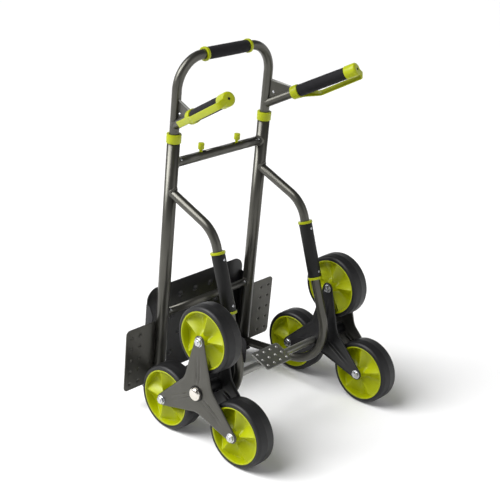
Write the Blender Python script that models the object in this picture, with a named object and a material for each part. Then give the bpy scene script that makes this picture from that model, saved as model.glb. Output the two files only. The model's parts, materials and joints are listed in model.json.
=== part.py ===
"""Folding stair-climbing hand truck: tube frame, three-wheel clusters, sliding handle, folding toe plate.

Metres, +Z up, +Y towards the load side, +X to the right hand of the person who pulls it.
Everything is laid out in the frame's own directions (z along the uprights) and hangs on one empty
that leans the whole truck back until the feet and the lower wheels stand on Z = 0.
"""
from math import acos, cos, pi, radians, sin, tan

import bmesh
import bpy
from mathutils import Matrix, Vector

GAP = 0.0003                      # room between touching pieces
LEAN = radians(2.16)              # the uprights lean back by this

HALF_SPACING = 0.150              # upright axis from the middle
UPRIGHT_R = 0.015
UPRIGHT_BORE = 0.0135
UPRIGHT_BOTTOM = 0.030
UPRIGHT_TOP = 0.674
UPRIGHT_SIDES = 24                # facets round an upright, and round whatever is coped to it

CROSSBAR_R = 0.011
CROSSBAR_BORE = 0.0093
UPPER_CROSSBAR_Z = 0.606
LOWER_CROSSBAR_Z = 0.223
LOWER_CROSSBAR_R = 0.0095
LOWER_CROSSBAR_BORE = 0.008
CROSSBAR_SIDES = 20
COPE_HALF = 0.04                  # height of the post that copes a crossbar's end, above and below
SLOT_X = (0.044, 0.064)           # the knob's slot in the upper crossbar
SLOT_HALF_WIDTH = 0.0036
SLOT_CUT = 0.02                   # height of the cutter, well past the bar's top

COLLAR_R = 0.0172
COLLAR_BOTTOM = 0.657
COLLAR_TOP = 0.6776
COLLAR_CHAMFER = 0.0015
COLLAR_SIDES = 20

HANDLE_R = 0.0112
HANDLE_BORE = 0.0097
HANDLE_BOTTOM = 0.260
ARCH_Z = 0.850
ARCH_BEND = 0.072
ARCH_STEPS = 7
ARCH_GRIP_HALF = 0.066
GRIP_R = 0.0145
RING_R = 0.0165
RING_WIDTH = 0.007
GRIP_SIDES = 16

SIDE_BASE = Vector((HALF_SPACING, -0.005, 0.700))        # where a side handle leaves the arch tube
SIDE_END = Vector((0.2115, -0.2148, 0.8293))             # centre of its end face
STUB_R = 0.0108
STUB_SHORT = 0.006                # the tube stops this far before the cap's end face
TUBE_WALL = 0.0015
CORE_START = 0.016                # the bore of a side handle begins here, clear of the arch tube
HANDLE_SIDES = 14
CORE_SIDES = 10
OVERCUT = 0.01                    # cutters pass the face they cut by this
WEB_START = 0.010                 # a web's lower corners, from where the side handle leaves the arch
WEB_TOP = 0.074                   # its upper corner, up the arch tube
WEB_HALF = 0.0015
WEB_TO_RING = 0.004
SIDE_RING = (0.075, 0.094)        # start and end along the side handle
SIDE_GRIP_END = 0.224
GUARD_WIDTH = 0.015
GUARD_THICKNESS = 0.0035
# (along the side handle, out from it) for the strip's middle; the last point is set in from the cap's face
GUARD_ROUTE = [(0.036, 0.0150), (0.096, 0.0172), (0.132, 0.034), (0.205, 0.031), (0.252, 0.0285)]
GUARD_ROUTE_END = (0.0022, 0.010)
GUARD_BENDS = [0.03, 0.03, 0.06, 0.008]
GUARD_STEPS = 4
CAP_SHRINK = 0.0005               # the end cap is this much thinner than the ring
CAP_CHAMFER = 0.004
GUARD_TURN = {-1: radians(18), 1: radians(38)}           # below straight outward, about the side handle

LEG_R = 0.011
LEG_BORE = 0.0095
LEG_TOP = (-UPRIGHT_R - 0.0004, 0.534)                   # (y, z) where the leg leaves the upright
LEG_KNEE = (-0.145, 0.490)
LEG_HEEL = (-0.2975, 0.098)
LEG_FOOT = (-UPRIGHT_R - 0.0004, 0.0525)
KNEE_BEND = 0.080
HEEL_BEND = 0.104
LEG_SIDES = 12
KNEE_STEPS = 5
HEEL_STEPS = 8
LEG_JOINT_HALF = 0.004            # half the gap between the two lengths of a leg, inside the sleeve
SLEEVE_TOP_Z = 0.447
SLEEVE_BOTTOM_Z = 0.312
SLEEVE_R = 0.016
SLEEVE_BORE = 0.0138
SLEEVE_RING_R = 0.0176
SLEEVE_RING_WIDTH = 0.006
SLEEVE_SIDES = 16

AXLE_R = 0.009
AXLE_HALF = 0.2660
AXLE_SIDES = 20
GUSSET_HALF = 0.002
GUSSET_FRONT = [(0.034, -0.020), (0.016, 0.018)]         # (y, z) from the axle
TYRE_R = 0.0788
TYRE_BORE = 0.0680
TYRE_HALF_WIDTH = 0.0245
RIM_HALF_WIDTH = 0.0233
CLUSTER_R = 0.1288                # wheel centre from the main axle
HUB_Y = -0.2316
HUB_Z = (CLUSTER_R / 2 + TYRE_R - HUB_Y * sin(LEAN)) / cos(LEAN)
INNER_PLATE_X = 0.187
OUTER_PLATE_X = 0.254
PLATE_T = 0.003
WHEEL_X = (INNER_PLATE_X + PLATE_T + OUTER_PLATE_X) / 2
ARM_TIP_R = 0.014
ARM_VALLEY = 0.050
VALLEY_STEP = 0.16                # angle between the three points of a valley, and how much the outer
VALLEY_SWELL = 0.0012             # two lie further out
HUB_TUBE_R = 0.016
HUB_CAP = [(0, 0.2700), (0.0100, 0.2688), (0.0160, 0.2635)]    # (radius, x) of the cap's dome
BOLT_R = 0.005
BOLT_SIDES = 8
HEX_R = 0.0095                    # over the corners of bolt heads and nuts
HEX_HEIGHT = 0.0065
BOLT_PAST_INNER = 0.008
BOLT_PAST_OUTER = 0.002
RIM_BORE = 0.0057
BOSS_R = 0.012
BOSS_PLAY = 0.0005                # between a rim's boss and the carriers
DISC_EDGE = (0.060, 0.006)        # (radius, half thickness) of a rim's disc at its outer edge
TYRE_SHOULDER = (0.005, 0.006)    # chamfer of a tyre's shoulder: off the radius, off the width
ROUND_STEPS = 24                  # facets round a wheel

GUARD_PLATE_X = (0.1622, 0.255)
GUARD_PLATE_Y = 0.0100
GUARD_PLATE_Z = (0.0395, 0.2035)
GUARD_PLATE_CORNERS = [0.004, 0.011, 0.011, 0.004]
SHEET = 0.0025

BRACKET_T = 0.003
# (y, z) above the feet's sloping lower edge, which lies flat on the floor
BRACKET_OUTLINE = [(0.040, 0.010), (0.040, 0.020), (0.036, 0.0265), (0.014, 0.034), (0.010, 0.070)]
BRACKET_OUTLINE += [(-0.022, 0.070), (-0.030, 0.060)]
BRACKET_HEEL = -0.030
BRACKET_TOE = 0.036
PAD_OVERLAP = 0.001
PAD_OUTER_X = 0.166
PAD_HALF_DEPTH = 0.015
PAD_T = 0.0040

HINGE = (0.030, 0.0165)           # (y, z) of the toe plate's pivot
HINGE_R = 0.004
HINGE_SIDES = 12
ROD_PAST_FLANGE = 0.003
TOE_HALF_WIDTH = 0.165
TOE_FACE_Y = 0.043
TOE_BOTTOM = 0.0285
TOE_TOP = 0.265
TOE_CORNER = 0.030
FLANGE_OVERLAP = 0.0005           # how far a flange runs into the plate
FLANGE_INSET = 0.00005            # keeps its face off the plate's own edge
# (y, z) from the pivot: below the plate, round the rod, and up the flange's free edge
FLANGE_OUTLINE = [(0.011, -0.0045), (0.004, -0.011), (-0.004, -0.011), (-0.0105, -0.0045)]
FLANGE_OUTLINE += [(-0.012, 0.012), (-0.012, 0.196), (0, 0.217)]
FLANGE_Z = (0.002, 0.2195)        # where it meets the plate: above the plate's edge, above the pivot

PEDAL_X = (-0.054, 0.038)
PEDAL_DEPTH = 0.060
PEDAL_TILT = radians(18)
PEDAL_CORNER = 0.007

KNOB_X = 0.060
KNOB_R = 0.0066
KNOB_NECK_R = 0.0030
KNOB_LIFT = 0.0022                # the head's underside above the crossbar
KNOB_TOP = 0.031
KNOB_CHAMFER = (0.001, 0.0015)    # at the head's lower and upper edge
PIN_R = 0.0045
PIN_SIDES = 12
PIN_TAIL = 0.006                  # the pin starts this far inside the knob's middle
PIN_TO_HANDLE = 0.0008
PIN_HOLE_PLAY = 0.0008
PIN_HOLE_DEPTH = 0.03


def clear_scene():
    for item in list(bpy.data.objects):
        bpy.data.objects.remove(item)


def material(name, hex_colour, roughness, metallic):
    def linear(value):
        return value / 12.92 if value <= 0.04045 else ((value + 0.055) / 1.055) ** 2.4

    made = bpy.data.materials.new(name)
    made.use_nodes = True
    shader = made.node_tree.nodes["Principled BSDF"]
    channels = [linear(int(hex_colour[i:i + 2], 16) / 255) for i in (0, 2, 4)]
    shader.inputs["Base Color"].default_value = (*channels, 1.0)
    shader.inputs["Roughness"].default_value = roughness
    shader.inputs["Metallic"].default_value = metallic
    return made


def finish(bm, name, look, parent, place=(0, 0, 0)):
    """Turn a bmesh into a named object under parent, smooth round and sharp at edges."""
    bmesh.ops.recalc_face_normals(bm, faces=bm.faces)
    mesh = bpy.data.meshes.new(name)
    bm.to_mesh(mesh)
    bm.free()
    mesh.materials.append(look)
    mesh.shade_smooth()
    mesh.set_sharp_from_angle(angle=radians(35))
    made = bpy.data.objects.new(name, mesh)
    made.parent = parent
    made.location = place
    bpy.context.scene.collection.objects.link(made)
    return made


def tool(bm, name, parent, place=(0, 0, 0)):
    """A helper solid for a Boolean, kept out of the model itself."""
    made = finish(bm, name, bpy.data.materials["frame_paint"], parent, place)
    made.hide_render = True
    made.display_type = 'WIRE'
    return made


def combine(target, other, operation):
    step = target.modifiers.new(other.name, 'BOOLEAN')
    step.operation = operation
    step.solver = 'EXACT'
    step.object = other
    return target


def bore_round(radius, sides, gap=GAP):
    """Radius of a faceted bore that clears a round bar of the given radius."""
    return (radius + gap) / cos(pi / sides)


def fillet(corners, radii, steps):
    """Open path through corners, each inner corner rounded with its radius."""
    points = [Vector(corners[0])]
    for before, corner, after, radius in zip(corners, corners[1:], corners[2:], radii):
        corner = Vector(corner)
        back = (Vector(before) - corner).normalized()
        ahead = (Vector(after) - corner).normalized()
        half = acos(max(-1.0, min(1.0, back.dot(ahead)))) / 2
        if radius <= 0:
            points.append(corner)
            continue
        reach = radius / tan(half)
        centre = corner + (back + ahead).normalized() * radius / sin(half)
        start = corner + back * reach - centre
        end = corner + ahead * reach - centre
        sweep = pi - 2 * half
        for i in range(steps + 1):
            t = i / steps
            mix = start * sin((1 - t) * sweep) + end * sin(t * sweep)
            points.append(centre + mix / sin(sweep))
    points.append(Vector(corners[-1]))
    return points


def rounded(corners, radii, steps=5):
    """Closed outline with rounded corners."""
    count = len(corners)
    outline = []
    for i in range(count):
        trio = [Vector((*corners[(i + k) % count], 0)) for k in (-1, 0, 1)]
        if radii[i] <= 0:
            outline.append(trio[1].xy)
            continue
        outline += [p.xy for p in fillet(trio, [radii[i]], steps)[1:-1]]
    return outline


def rings_along(path, radius, sides):
    """Rings of points square to a path, carried along it without twisting."""
    tangents = []
    for i in range(len(path)):
        ahead = path[min(i + 1, len(path) - 1)] - path[i]
        behind = path[i] - path[max(i - 1, 0)]
        tangents.append((ahead.normalized() + behind.normalized()).normalized())
    side = tangents[0].orthogonal().normalized()
    if abs(tangents[0].x) < 0.9:
        side = (Vector((1, 0, 0)) - tangents[0] * tangents[0].x).normalized()
    rings = []
    for i, point in enumerate(path):
        side = (side - tangents[i] * side.dot(tangents[i])).normalized()
        up = tangents[i].cross(side)
        angles = [2 * pi * (k + 0.5) / sides for k in range(sides)]
        rings.append([point + (side * cos(a) + up * sin(a)) * radius for a in angles])
    return rings


def skin(bm, rings):
    """Faces between consecutive rings of vertices."""
    for ring, following in zip(rings, rings[1:]):
        for k in range(len(ring)):
            n = (k + 1) % len(ring)
            bm.faces.new((ring[k], ring[n], following[n], following[k]))


def bar(path, radius, sides=16):
    """Solid round bar along a path."""
    bm = bmesh.new()
    rings = [[bm.verts.new(p) for p in ring] for ring in rings_along(path, radius, sides)]
    skin(bm, rings)
    bm.faces.new(rings[0])
    bm.faces.new(rings[-1])
    return bm


def tube(path, radius, bore, sides=16):
    """Round tube along a path, open at both ends."""
    bm = bmesh.new()
    outer = [[bm.verts.new(p) for p in ring] for ring in rings_along(path, radius, sides)]
    inner = [[bm.verts.new(p) for p in ring] for ring in rings_along(path, bore, sides)]
    skin(bm, outer)
    skin(bm, inner)
    skin(bm, [outer[0], inner[0]])
    skin(bm, [outer[-1], inner[-1]])
    return bm


def turned(profile, steps, phase=0.0):
    """Closed ring of (radius, x) points turned round the X axis; radius 0 closes on the axis."""
    bm = bmesh.new()
    rings = []
    for radius, x in profile:
        if radius < 1e-6:
            rings.append([bm.verts.new((x, 0, 0))])
            continue
        angles = [phase + 2 * pi * k / steps for k in range(steps)]
        rings.append([bm.verts.new((x, radius * cos(a), radius * sin(a))) for a in angles])
    open_profile = len(rings[0]) == 1
    following_rings = rings[1:] if open_profile else rings[1:] + rings[:1]
    for ring, following in zip(rings, following_rings):
        for k in range(steps):
            n = (k + 1) % steps
            corners = [ring[k % len(ring)], ring[n % len(ring)]]
            corners += [following[n % len(following)], following[k % len(following)]]
            bm.faces.new(list(dict.fromkeys(corners)))
    return bm


def slab(outline, low, high, plane="yz"):
    """Outline in a coordinate plane, given thickness along the third axis."""
    axis = {"yz": 0, "xz": 1, "xy": 2}[plane]
    bm = bmesh.new()
    rings = []
    for level in (low, high):
        ring = []
        for a, b in outline:
            place = [a, b]
            place.insert(axis, level)
            ring.append(bm.verts.new(place))
        rings.append(ring)
    skin(bm, rings)
    bm.faces.new(rings[0])
    bm.faces.new(rings[1])
    return bm


def box(low, high):
    corners = [(low[0], low[1]), (high[0], low[1]), (high[0], high[1]), (low[0], high[1])]
    return slab(corners, low[2], high[2], "xy")


def side_name(side):
    return "left" if side < 0 else "right"


def straight(start, end):
    return [Vector(start), Vector(end)]


def turn_to(bm, direction, start):
    """Lay a solid that was turned round +X along a direction, with its x = 0 at start."""
    spin = Vector((1, 0, 0)).rotation_difference(direction)
    bm.transform(Matrix.Translation(start) @ spin.to_matrix().to_4x4())
    return bm


def leg_path():
    """Centre line of one side's leg, from upright to upright, in a plane of constant x."""
    corners = [(0, *LEG_TOP), (0, *LEG_KNEE), (0, *LEG_HEEL), (0, *LEG_FOOT)]
    return [Vector(c) for c in corners]


def point_on_leg(z):
    """Point at height z on the straight between knee and heel."""
    knee, heel = leg_path()[1:3]
    return knee + (heel - knee) * (knee.z - z) / (knee.z - heel.z)


def build_frame(truck, look):
    for side in (-1, 1):
        x = side * HALF_SPACING
        name = side_name(side)

        ends = straight((x, 0, UPRIGHT_BOTTOM), (x, 0, UPRIGHT_TOP))
        upright = tube(ends, UPRIGHT_R, UPRIGHT_BORE, UPRIGHT_SIDES)
        upright = finish(upright, "upright_" + name, look["paint"], truck)
        inward = straight((x, 0, UPPER_CROSSBAR_Z), (x - side * PIN_HOLE_DEPTH, 0, UPPER_CROSSBAR_Z))
        pin_hole = bar(inward, bore_round(PIN_R, PIN_SIDES, PIN_HOLE_PLAY), PIN_SIDES)
        pin_hole = tool(pin_hole, "pin_hole_" + name, truck)
        combine(upright, pin_hole, 'DIFFERENCE')

        lip = bore_round(HANDLE_R, COLLAR_SIDES)
        skirt = bore_round(UPRIGHT_R, COLLAR_SIDES)
        height = COLLAR_TOP - COLLAR_BOTTOM
        step = UPRIGHT_TOP + GAP - COLLAR_BOTTOM
        profile = [(skirt, 0), (COLLAR_R, 0), (COLLAR_R, height - COLLAR_CHAMFER)]
        profile += [(COLLAR_R - COLLAR_CHAMFER, height)]
        profile += [(lip, height), (lip, step), (skirt, step)]
        collar = turned(profile, COLLAR_SIDES)
        turn_to(collar, Vector((0, 0, 1)), Vector((x, 0, COLLAR_BOTTOM)))
        finish(collar, "collar_" + name, look["lime"], truck)

        top, knee, heel, foot = leg_path()
        middle = point_on_leg((SLEEVE_TOP_Z + SLEEVE_BOTTOM_Z) / 2)
        along = (heel - knee).normalized()
        shift = Vector((x, 0, 0))
        upper = fillet([top, knee, middle - along * LEG_JOINT_HALF], [KNEE_BEND], KNEE_STEPS)
        upper = tube([p + shift for p in upper], LEG_R, LEG_BORE, LEG_SIDES)
        upper_leg = finish(upper, "upper_leg_" + name, look["paint"], truck)
        lower = fillet([middle + along * LEG_JOINT_HALF, heel, foot], [HEEL_BEND], HEEL_STEPS)
        lower = tube([p + shift for p in lower], LEG_R, LEG_BORE, LEG_SIDES)
        lower_leg = finish(lower, "lower_leg_" + name, look["paint"], truck)
        post = straight((x, 0, 0), (x, 0, ARCH_Z))
        post = tool(bar(post, UPRIGHT_R + GAP, UPRIGHT_SIDES), "leg_cope_" + name, truck)
        combine(upper_leg, post, 'DIFFERENCE')
        combine(lower_leg, post, 'DIFFERENCE')

        start = point_on_leg(SLEEVE_TOP_Z) + shift
        end = point_on_leg(SLEEVE_BOTTOM_Z) + shift
        run = (end - start).length
        inset = SLEEVE_RING_WIDTH + GAP
        ends = straight(start + along * inset, end - along * inset)
        sleeve = tube(ends, SLEEVE_R, SLEEVE_BORE, SLEEVE_SIDES)
        finish(sleeve, "leg_sleeve_" + name, look["black_plastic"], truck)
        bore = bore_round(LEG_R, SLEEVE_SIDES)
        barrel = SLEEVE_BORE * cos(pi / SLEEVE_SIDES) - GAP
        profile = [(bore, 0), (SLEEVE_RING_R, 0), (SLEEVE_RING_R, SLEEVE_RING_WIDTH)]
        profile += [(barrel, SLEEVE_RING_WIDTH), (barrel, run - SLEEVE_RING_WIDTH)]
        profile += [(SLEEVE_RING_R, run - SLEEVE_RING_WIDTH), (SLEEVE_RING_R, run), (bore, run)]
        liner = turn_to(turned(profile, SLEEVE_SIDES), along, start)
        finish(liner, "sleeve_liner_" + name, look["lime"], truck)

    reach = HALF_SPACING
    for name, z, radius, bore in (("upper_crossbar", UPPER_CROSSBAR_Z, CROSSBAR_R, CROSSBAR_BORE),
                                  ("lower_crossbar", LOWER_CROSSBAR_Z, LOWER_CROSSBAR_R,
                                   LOWER_CROSSBAR_BORE)):
        ends = straight((-reach, 0, z), (reach, 0, z))
        crossbar = finish(tube(ends, radius, bore, CROSSBAR_SIDES), name, look["paint"], truck)
        for side in (-1, 1):
            x = side * HALF_SPACING
            post = straight((x, 0, z - COPE_HALF), (x, 0, z + COPE_HALF))
            cope = bar(post, UPRIGHT_R + GAP, UPRIGHT_SIDES)
            combine(crossbar, tool(cope, name + "_cope_" + side_name(side), truck), 'DIFFERENCE')
            if name == "upper_crossbar":
                near, far = sorted(side * x for x in SLOT_X)
                slot_box = box((near, -SLOT_HALF_WIDTH, z), (far, SLOT_HALF_WIDTH, z + SLOT_CUT))
                combine(crossbar, tool(slot_box, "slot_" + side_name(side), truck), 'DIFFERENCE')


def build_knobs(truck, look):
    """Two thumb knobs; each draws its lock pin inwards along the upper crossbar."""
    for side in (-1, 1):
        tip = HALF_SPACING - HANDLE_R - PIN_TO_HANDLE
        pin = bar(straight((-side * PIN_TAIL, 0, 0), (side * (tip - KNOB_X), 0, 0)), PIN_R, PIN_SIDES)
        name = side_name(side)
        knob = finish(pin, "lock_knob_" + name, look["lime"], truck, (side * KNOB_X, 0, UPPER_CROSSBAR_Z))
        base = CROSSBAR_R + KNOB_LIFT
        below, above = KNOB_CHAMFER
        profile = [(0, 0), (KNOB_NECK_R, 0), (KNOB_NECK_R, base), (KNOB_R - below, base)]
        profile += [(KNOB_R, base + below), (KNOB_R, KNOB_TOP - above), (KNOB_R - above, KNOB_TOP)]
        profile += [(0, KNOB_TOP)]
        head = turn_to(turned(profile, PIN_SIDES), Vector((0, 0, 1)), Vector((0, 0, 0)))
        head = tool(head, "knob_head_" + name, truck, knob.location)
        combine(knob, head, 'UNION')


def side_axis(side):
    base = Vector((side * SIDE_BASE.x, SIDE_BASE.y, SIDE_BASE.z))
    end = Vector((side * SIDE_END.x, SIDE_END.y, SIDE_END.z))
    return base, (end - base).normalized(), (end - base).length


def build_handle(truck, look):
    """Arch tube that slides in the uprights, with two welded side handles, grips and hand guards."""
    corners = [(-HALF_SPACING, 0, HANDLE_BOTTOM), (-HALF_SPACING, 0, ARCH_Z)]
    corners += [(HALF_SPACING, 0, ARCH_Z), (HALF_SPACING, 0, HANDLE_BOTTOM)]
    arch = fillet(corners, [ARCH_BEND, ARCH_BEND], ARCH_STEPS)
    handle = finish(bar(arch, HANDLE_R, HANDLE_SIDES), "handle_tube", look["paint"], truck)
    for side in (-1, 1):
        name = side_name(side)
        base, along, length = side_axis(side)
        stub = bar(straight(base, base + along * (length - STUB_SHORT)), STUB_R, HANDLE_SIDES)
        combine(handle, tool(stub, "stub_" + name, truck), 'UNION')
        up = Vector((0, 0, 1))
        near_ring = base + along * (SIDE_RING[0] - WEB_TO_RING)
        web = [base + along * WEB_START, near_ring, base + up * WEB_TOP, base + up * WEB_START]
        across = along.cross(up).normalized() * WEB_HALF
        bm = bmesh.new()
        rings = [[bm.verts.new(p + across * s) for p in web] for s in (-1, 1)]
        skin(bm, rings)
        bm.faces.new(rings[0])
        bm.faces.new(rings[1])
        combine(handle, tool(bm, "handle_web_" + name, truck), 'UNION')
        core = straight(base + along * CORE_START, base + along * (length + OVERCUT))
        core = bar(core, STUB_R - TUBE_WALL, CORE_SIDES)
        combine(handle, tool(core, "stub_core_" + name, truck), 'DIFFERENCE')
    below = Vector((0, 0, -OVERCUT))
    core_path = [arch[0] + below] + arch[1:-1] + [arch[-1] + below]
    combine(handle, tool(bar(core_path, HANDLE_BORE, CORE_SIDES), "handle_core", truck), 'DIFFERENCE')

    bore = bore_round(HANDLE_R, GRIP_SIDES)
    top = Vector((0, 0, ARCH_Z))
    half = ARCH_GRIP_HALF
    profile = [(bore, -half), (GRIP_R, -half), (GRIP_R, half), (bore, half)]
    finish(turned(profile, GRIP_SIDES), "arch_grip", look["foam"], truck, top)
    for side in (-1, 1):
        start = side * (half + GAP)
        stop = start + side * RING_WIDTH
        profile = [(bore, start), (RING_R, start), (RING_R, stop), (bore, stop)]
        name = side_name(side)
        finish(turned(profile, GRIP_SIDES), "arch_ring_" + name, look["lime"], truck, top)

        base, along, length = side_axis(side)
        bore_side = bore_round(STUB_R, GRIP_SIDES)
        profile = [(bore_side, SIDE_RING[1] + GAP), (GRIP_R, SIDE_RING[1] + GAP)]
        profile += [(GRIP_R, SIDE_GRIP_END - GAP), (bore_side, SIDE_GRIP_END - GAP)]
        grip = turn_to(turned(profile, GRIP_SIDES), along, base)
        finish(grip, "side_grip_" + name, look["foam"], truck)

        # the guard: a ring at the hand's front, a strip past the fingers, a cap on the end
        profile = [(bore_side, SIDE_RING[0]), (RING_R, SIDE_RING[0])]
        profile += [(RING_R, SIDE_RING[1]), (bore_side, SIDE_RING[1])]
        guard = turn_to(turned(profile, GRIP_SIDES), along, base)
        guard = finish(guard, "hand_guard_" + name, look["lime"], truck)
        inside = length - STUB_SHORT + GAP
        cap_r = RING_R - CAP_SHRINK
        profile = [(0, inside), (bore_side, inside), (bore_side, SIDE_GRIP_END), (cap_r, SIDE_GRIP_END)]
        profile += [(cap_r, length - CAP_CHAMFER), (cap_r - CAP_CHAMFER, length), (0, length)]
        cap = turn_to(turned(profile, GRIP_SIDES), along, base)
        combine(guard, tool(cap, "guard_cap_" + name, truck), 'UNION')
        outward = Vector((side, 0, 0)) - along * along.x * side
        outward.normalize()
        down = along.cross(outward) * side
        turn = GUARD_TURN[side]
        out = outward * cos(turn) - down * sin(turn) * (1 if down.z > 0 else -1)
        across = along.cross(out).normalized() * GUARD_WIDTH / 2
        route = GUARD_ROUTE + [(length - GUARD_ROUTE_END[0], GUARD_ROUTE_END[1])]
        route = fillet([(s, o, 0) for s, o in route], GUARD_BENDS, GUARD_STEPS)
        bm = bmesh.new()
        rings = []
        for i, point in enumerate(route):
            ahead = route[min(i + 1, len(route) - 1)] - route[max(i - 1, 0)]
            normal = Vector((-ahead.y, ahead.x, 0)).normalized() * GUARD_THICKNESS / 2
            ring = []
            for s, w in ((-1, -1), (1, -1), (1, 1), (-1, 1)):
                flat = point + normal * s
                ring.append(bm.verts.new(base + along * flat.x + out * flat.y + across * w))
            rings.append(ring)
        skin(bm, rings)
        bm.faces.new(rings[0])
        bm.faces.new(rings[-1])
        combine(guard, tool(bm, "guard_strip_" + name, truck), 'UNION')


def build_axle(truck, look):
    """Main axle, its two gussets inside the legs' heels, and the foot pedal on top of it."""
    place = (0, HUB_Y, HUB_Z)
    ends = straight((-AXLE_HALF, 0, 0), (AXLE_HALF, 0, 0))
    finish(bar(ends, AXLE_R, AXLE_SIDES), "main_axle", look["paint"], truck, place)

    knee, heel, foot = leg_path()[1:]
    for side in (-1, 1):
        arc = fillet([knee, heel, foot], [HEEL_BEND - LEG_R - GAP * 2], HEEL_STEPS)
        # the same bend pulled to the inside of the tube
        inward = ((knee - heel).normalized() + (foot - heel).normalized()).normalized()
        half = acos((knee - heel).normalized().dot((foot - heel).normalized())) / 2
        arc = [p + inward * (LEG_R + GAP * 2) / sin(half) for p in arc[1:-1]]
        outline = [(p.y, p.z) for p in arc] + [(HUB_Y + y, HUB_Z + z) for y, z in GUSSET_FRONT]
        x = side * HALF_SPACING
        name = side_name(side)
        gusset = slab(outline, x - GUSSET_HALF, x + GUSSET_HALF)
        gusset = finish(gusset, "axle_gusset_" + name, look["black"], truck)
        hole = straight((x - OVERCUT, HUB_Y, HUB_Z), (x + OVERCUT, HUB_Y, HUB_Z))
        hole = bar(hole, bore_round(AXLE_R, AXLE_SIDES), AXLE_SIDES)
        combine(gusset, tool(hole, "gusset_hole_" + name, truck), 'DIFFERENCE')

    half = PEDAL_DEPTH / 2
    low, high = PEDAL_X
    outline = [(low, -half), (high, -half), (high, half), (low, half)]
    outline = rounded(outline, [PEDAL_CORNER] * 4, 4)
    plate = slab(outline, 0, SHEET, "xy")
    lift = Matrix.Translation((0, HUB_Y, HUB_Z)) @ Matrix.Rotation(PEDAL_TILT, 4, 'X')
    plate.transform(lift @ Matrix.Translation((0, 0, AXLE_R + GAP)))
    finish(plate, "foot_pedal", look["plate"], truck)


def arm_angle(k):
    """Angle of a cluster's arm from +y towards +z; the first one stands upright in the world."""
    return pi / 2 - LEAN + 2 * pi * k / 3


def carrier_outline():
    """Three-armed star in the (y, z) plane, first arm straight up in the world."""
    outline = []
    for k in range(3):
        arm = arm_angle(k)
        tip = Vector((cos(arm), sin(arm))) * CLUSTER_R
        for i in range(5):
            a = arm - pi / 2 + pi * i / 4
            outline.append((tip.x + ARM_TIP_R * cos(a), tip.y + ARM_TIP_R * sin(a)))
        for i in range(-1, 2):
            a = arm + pi / 3 + i * VALLEY_STEP
            r = ARM_VALLEY + VALLEY_SWELL * i * i
            outline.append((r * cos(a), r * sin(a)))
    return outline


def build_cluster(truck, look, side):
    name = side_name(side)
    hub = Vector((0, HUB_Y, HUB_Z))
    for label, x, paint in (("carrier_inner_", INNER_PLATE_X, look["black"]),
                            ("carrier_outer_", OUTER_PLATE_X, look["plate"])):
        low, high = sorted((side * x, side * (x + PLATE_T)))
        plate = finish(slab(carrier_outline(), low, high), label + name, paint, truck, hub)
        hole = straight((low - OVERCUT, 0, 0), (high + OVERCUT, 0, 0))
        hole = bar(hole, bore_round(AXLE_R, AXLE_SIDES), AXLE_SIDES)
        combine(plate, tool(hole, label + name + "_bore", truck, hub), 'DIFFERENCE')
        for k in range(3):
            y = CLUSTER_R * cos(arm_angle(k))
            z = CLUSTER_R * sin(arm_angle(k))
            hole = straight((low - OVERCUT, y, z), (high + OVERCUT, y, z))
            hole = bar(hole, bore_round(BOLT_R, BOLT_SIDES), BOLT_SIDES)
            combine(plate, tool(hole, label + name + "_hole_" + str(k + 1), truck, hub), 'DIFFERENCE')

    bore = bore_round(AXLE_R, AXLE_SIDES)
    start = side * (INNER_PLATE_X + PLATE_T + GAP)
    stop = side * (OUTER_PLATE_X - GAP)
    profile = [(bore, start), (HUB_TUBE_R, start), (HUB_TUBE_R, stop), (bore, stop)]
    finish(turned(profile, AXLE_SIDES), "hub_tube_" + name, look["black"], truck, hub)

    face = side * (OUTER_PLATE_X + PLATE_T + GAP)
    seat = side * (AXLE_HALF + GAP)
    profile = [(radius, side * x) for radius, x in HUB_CAP]
    profile += [(HUB_CAP[-1][0], face), (bore, face), (bore, seat), (0, seat)]
    finish(turned(profile, AXLE_SIDES), "hub_cap_" + name, look["chrome"], truck, hub)

    for k in range(3):
        centre = hub + Vector((0, CLUSTER_R * cos(arm_angle(k)), CLUSTER_R * sin(arm_angle(k))))
        build_wheel(truck, look, side, name + "_" + str(k + 1), centre)


def build_wheel(truck, look, side, name, centre):
    outer = side * (OUTER_PLATE_X + PLATE_T + GAP)
    inner = side * (INNER_PLATE_X - GAP)
    shank = straight((inner - side * BOLT_PAST_INNER, 0, 0), (outer + side * BOLT_PAST_OUTER, 0, 0))
    bolt = finish(bar(shank, BOLT_R, BOLT_SIDES), "wheel_bolt_" + name, look["zinc"], truck, centre)
    head = bar(straight((outer, 0, 0), (outer + side * HEX_HEIGHT, 0, 0)), HEX_R, 6)
    combine(bolt, tool(head, "bolt_head_" + name, truck, centre), 'UNION')
    nut = bar(straight((inner, 0, 0), (inner - side * HEX_HEIGHT, 0, 0)), HEX_R, 6)
    combine(bolt, tool(nut, "bolt_nut_" + name, truck, centre), 'UNION')

    middle = Vector((side * WHEEL_X, 0, 0))
    phase = -pi / 2 - LEAN            # puts a corner of each faceted wheel on the floor
    half = RIM_HALF_WIDTH
    boss = WHEEL_X - INNER_PLATE_X - PLATE_T - BOSS_PLAY
    seat = TYRE_BORE - GAP
    edge, thin = DISC_EDGE
    profile = [(RIM_BORE, -boss), (BOSS_R, -boss), (edge, -thin), (seat, -half)]
    profile += [(seat, half), (edge, thin), (BOSS_R, boss), (RIM_BORE, boss)]
    finish(turned(profile, ROUND_STEPS, phase), "wheel_rim_" + name, look["lime"], truck, centre + middle)

    wide = TYRE_HALF_WIDTH
    drop, inset = TYRE_SHOULDER
    profile = [(TYRE_BORE, -wide), (TYRE_R - drop, -wide), (TYRE_R, -wide + inset)]
    profile += [(TYRE_R, wide - inset), (TYRE_R - drop, wide), (TYRE_BORE, wide)]
    finish(turned(profile, ROUND_STEPS, phase), "tyre_" + name, look["rubber"], truck, centre + middle)


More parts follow.
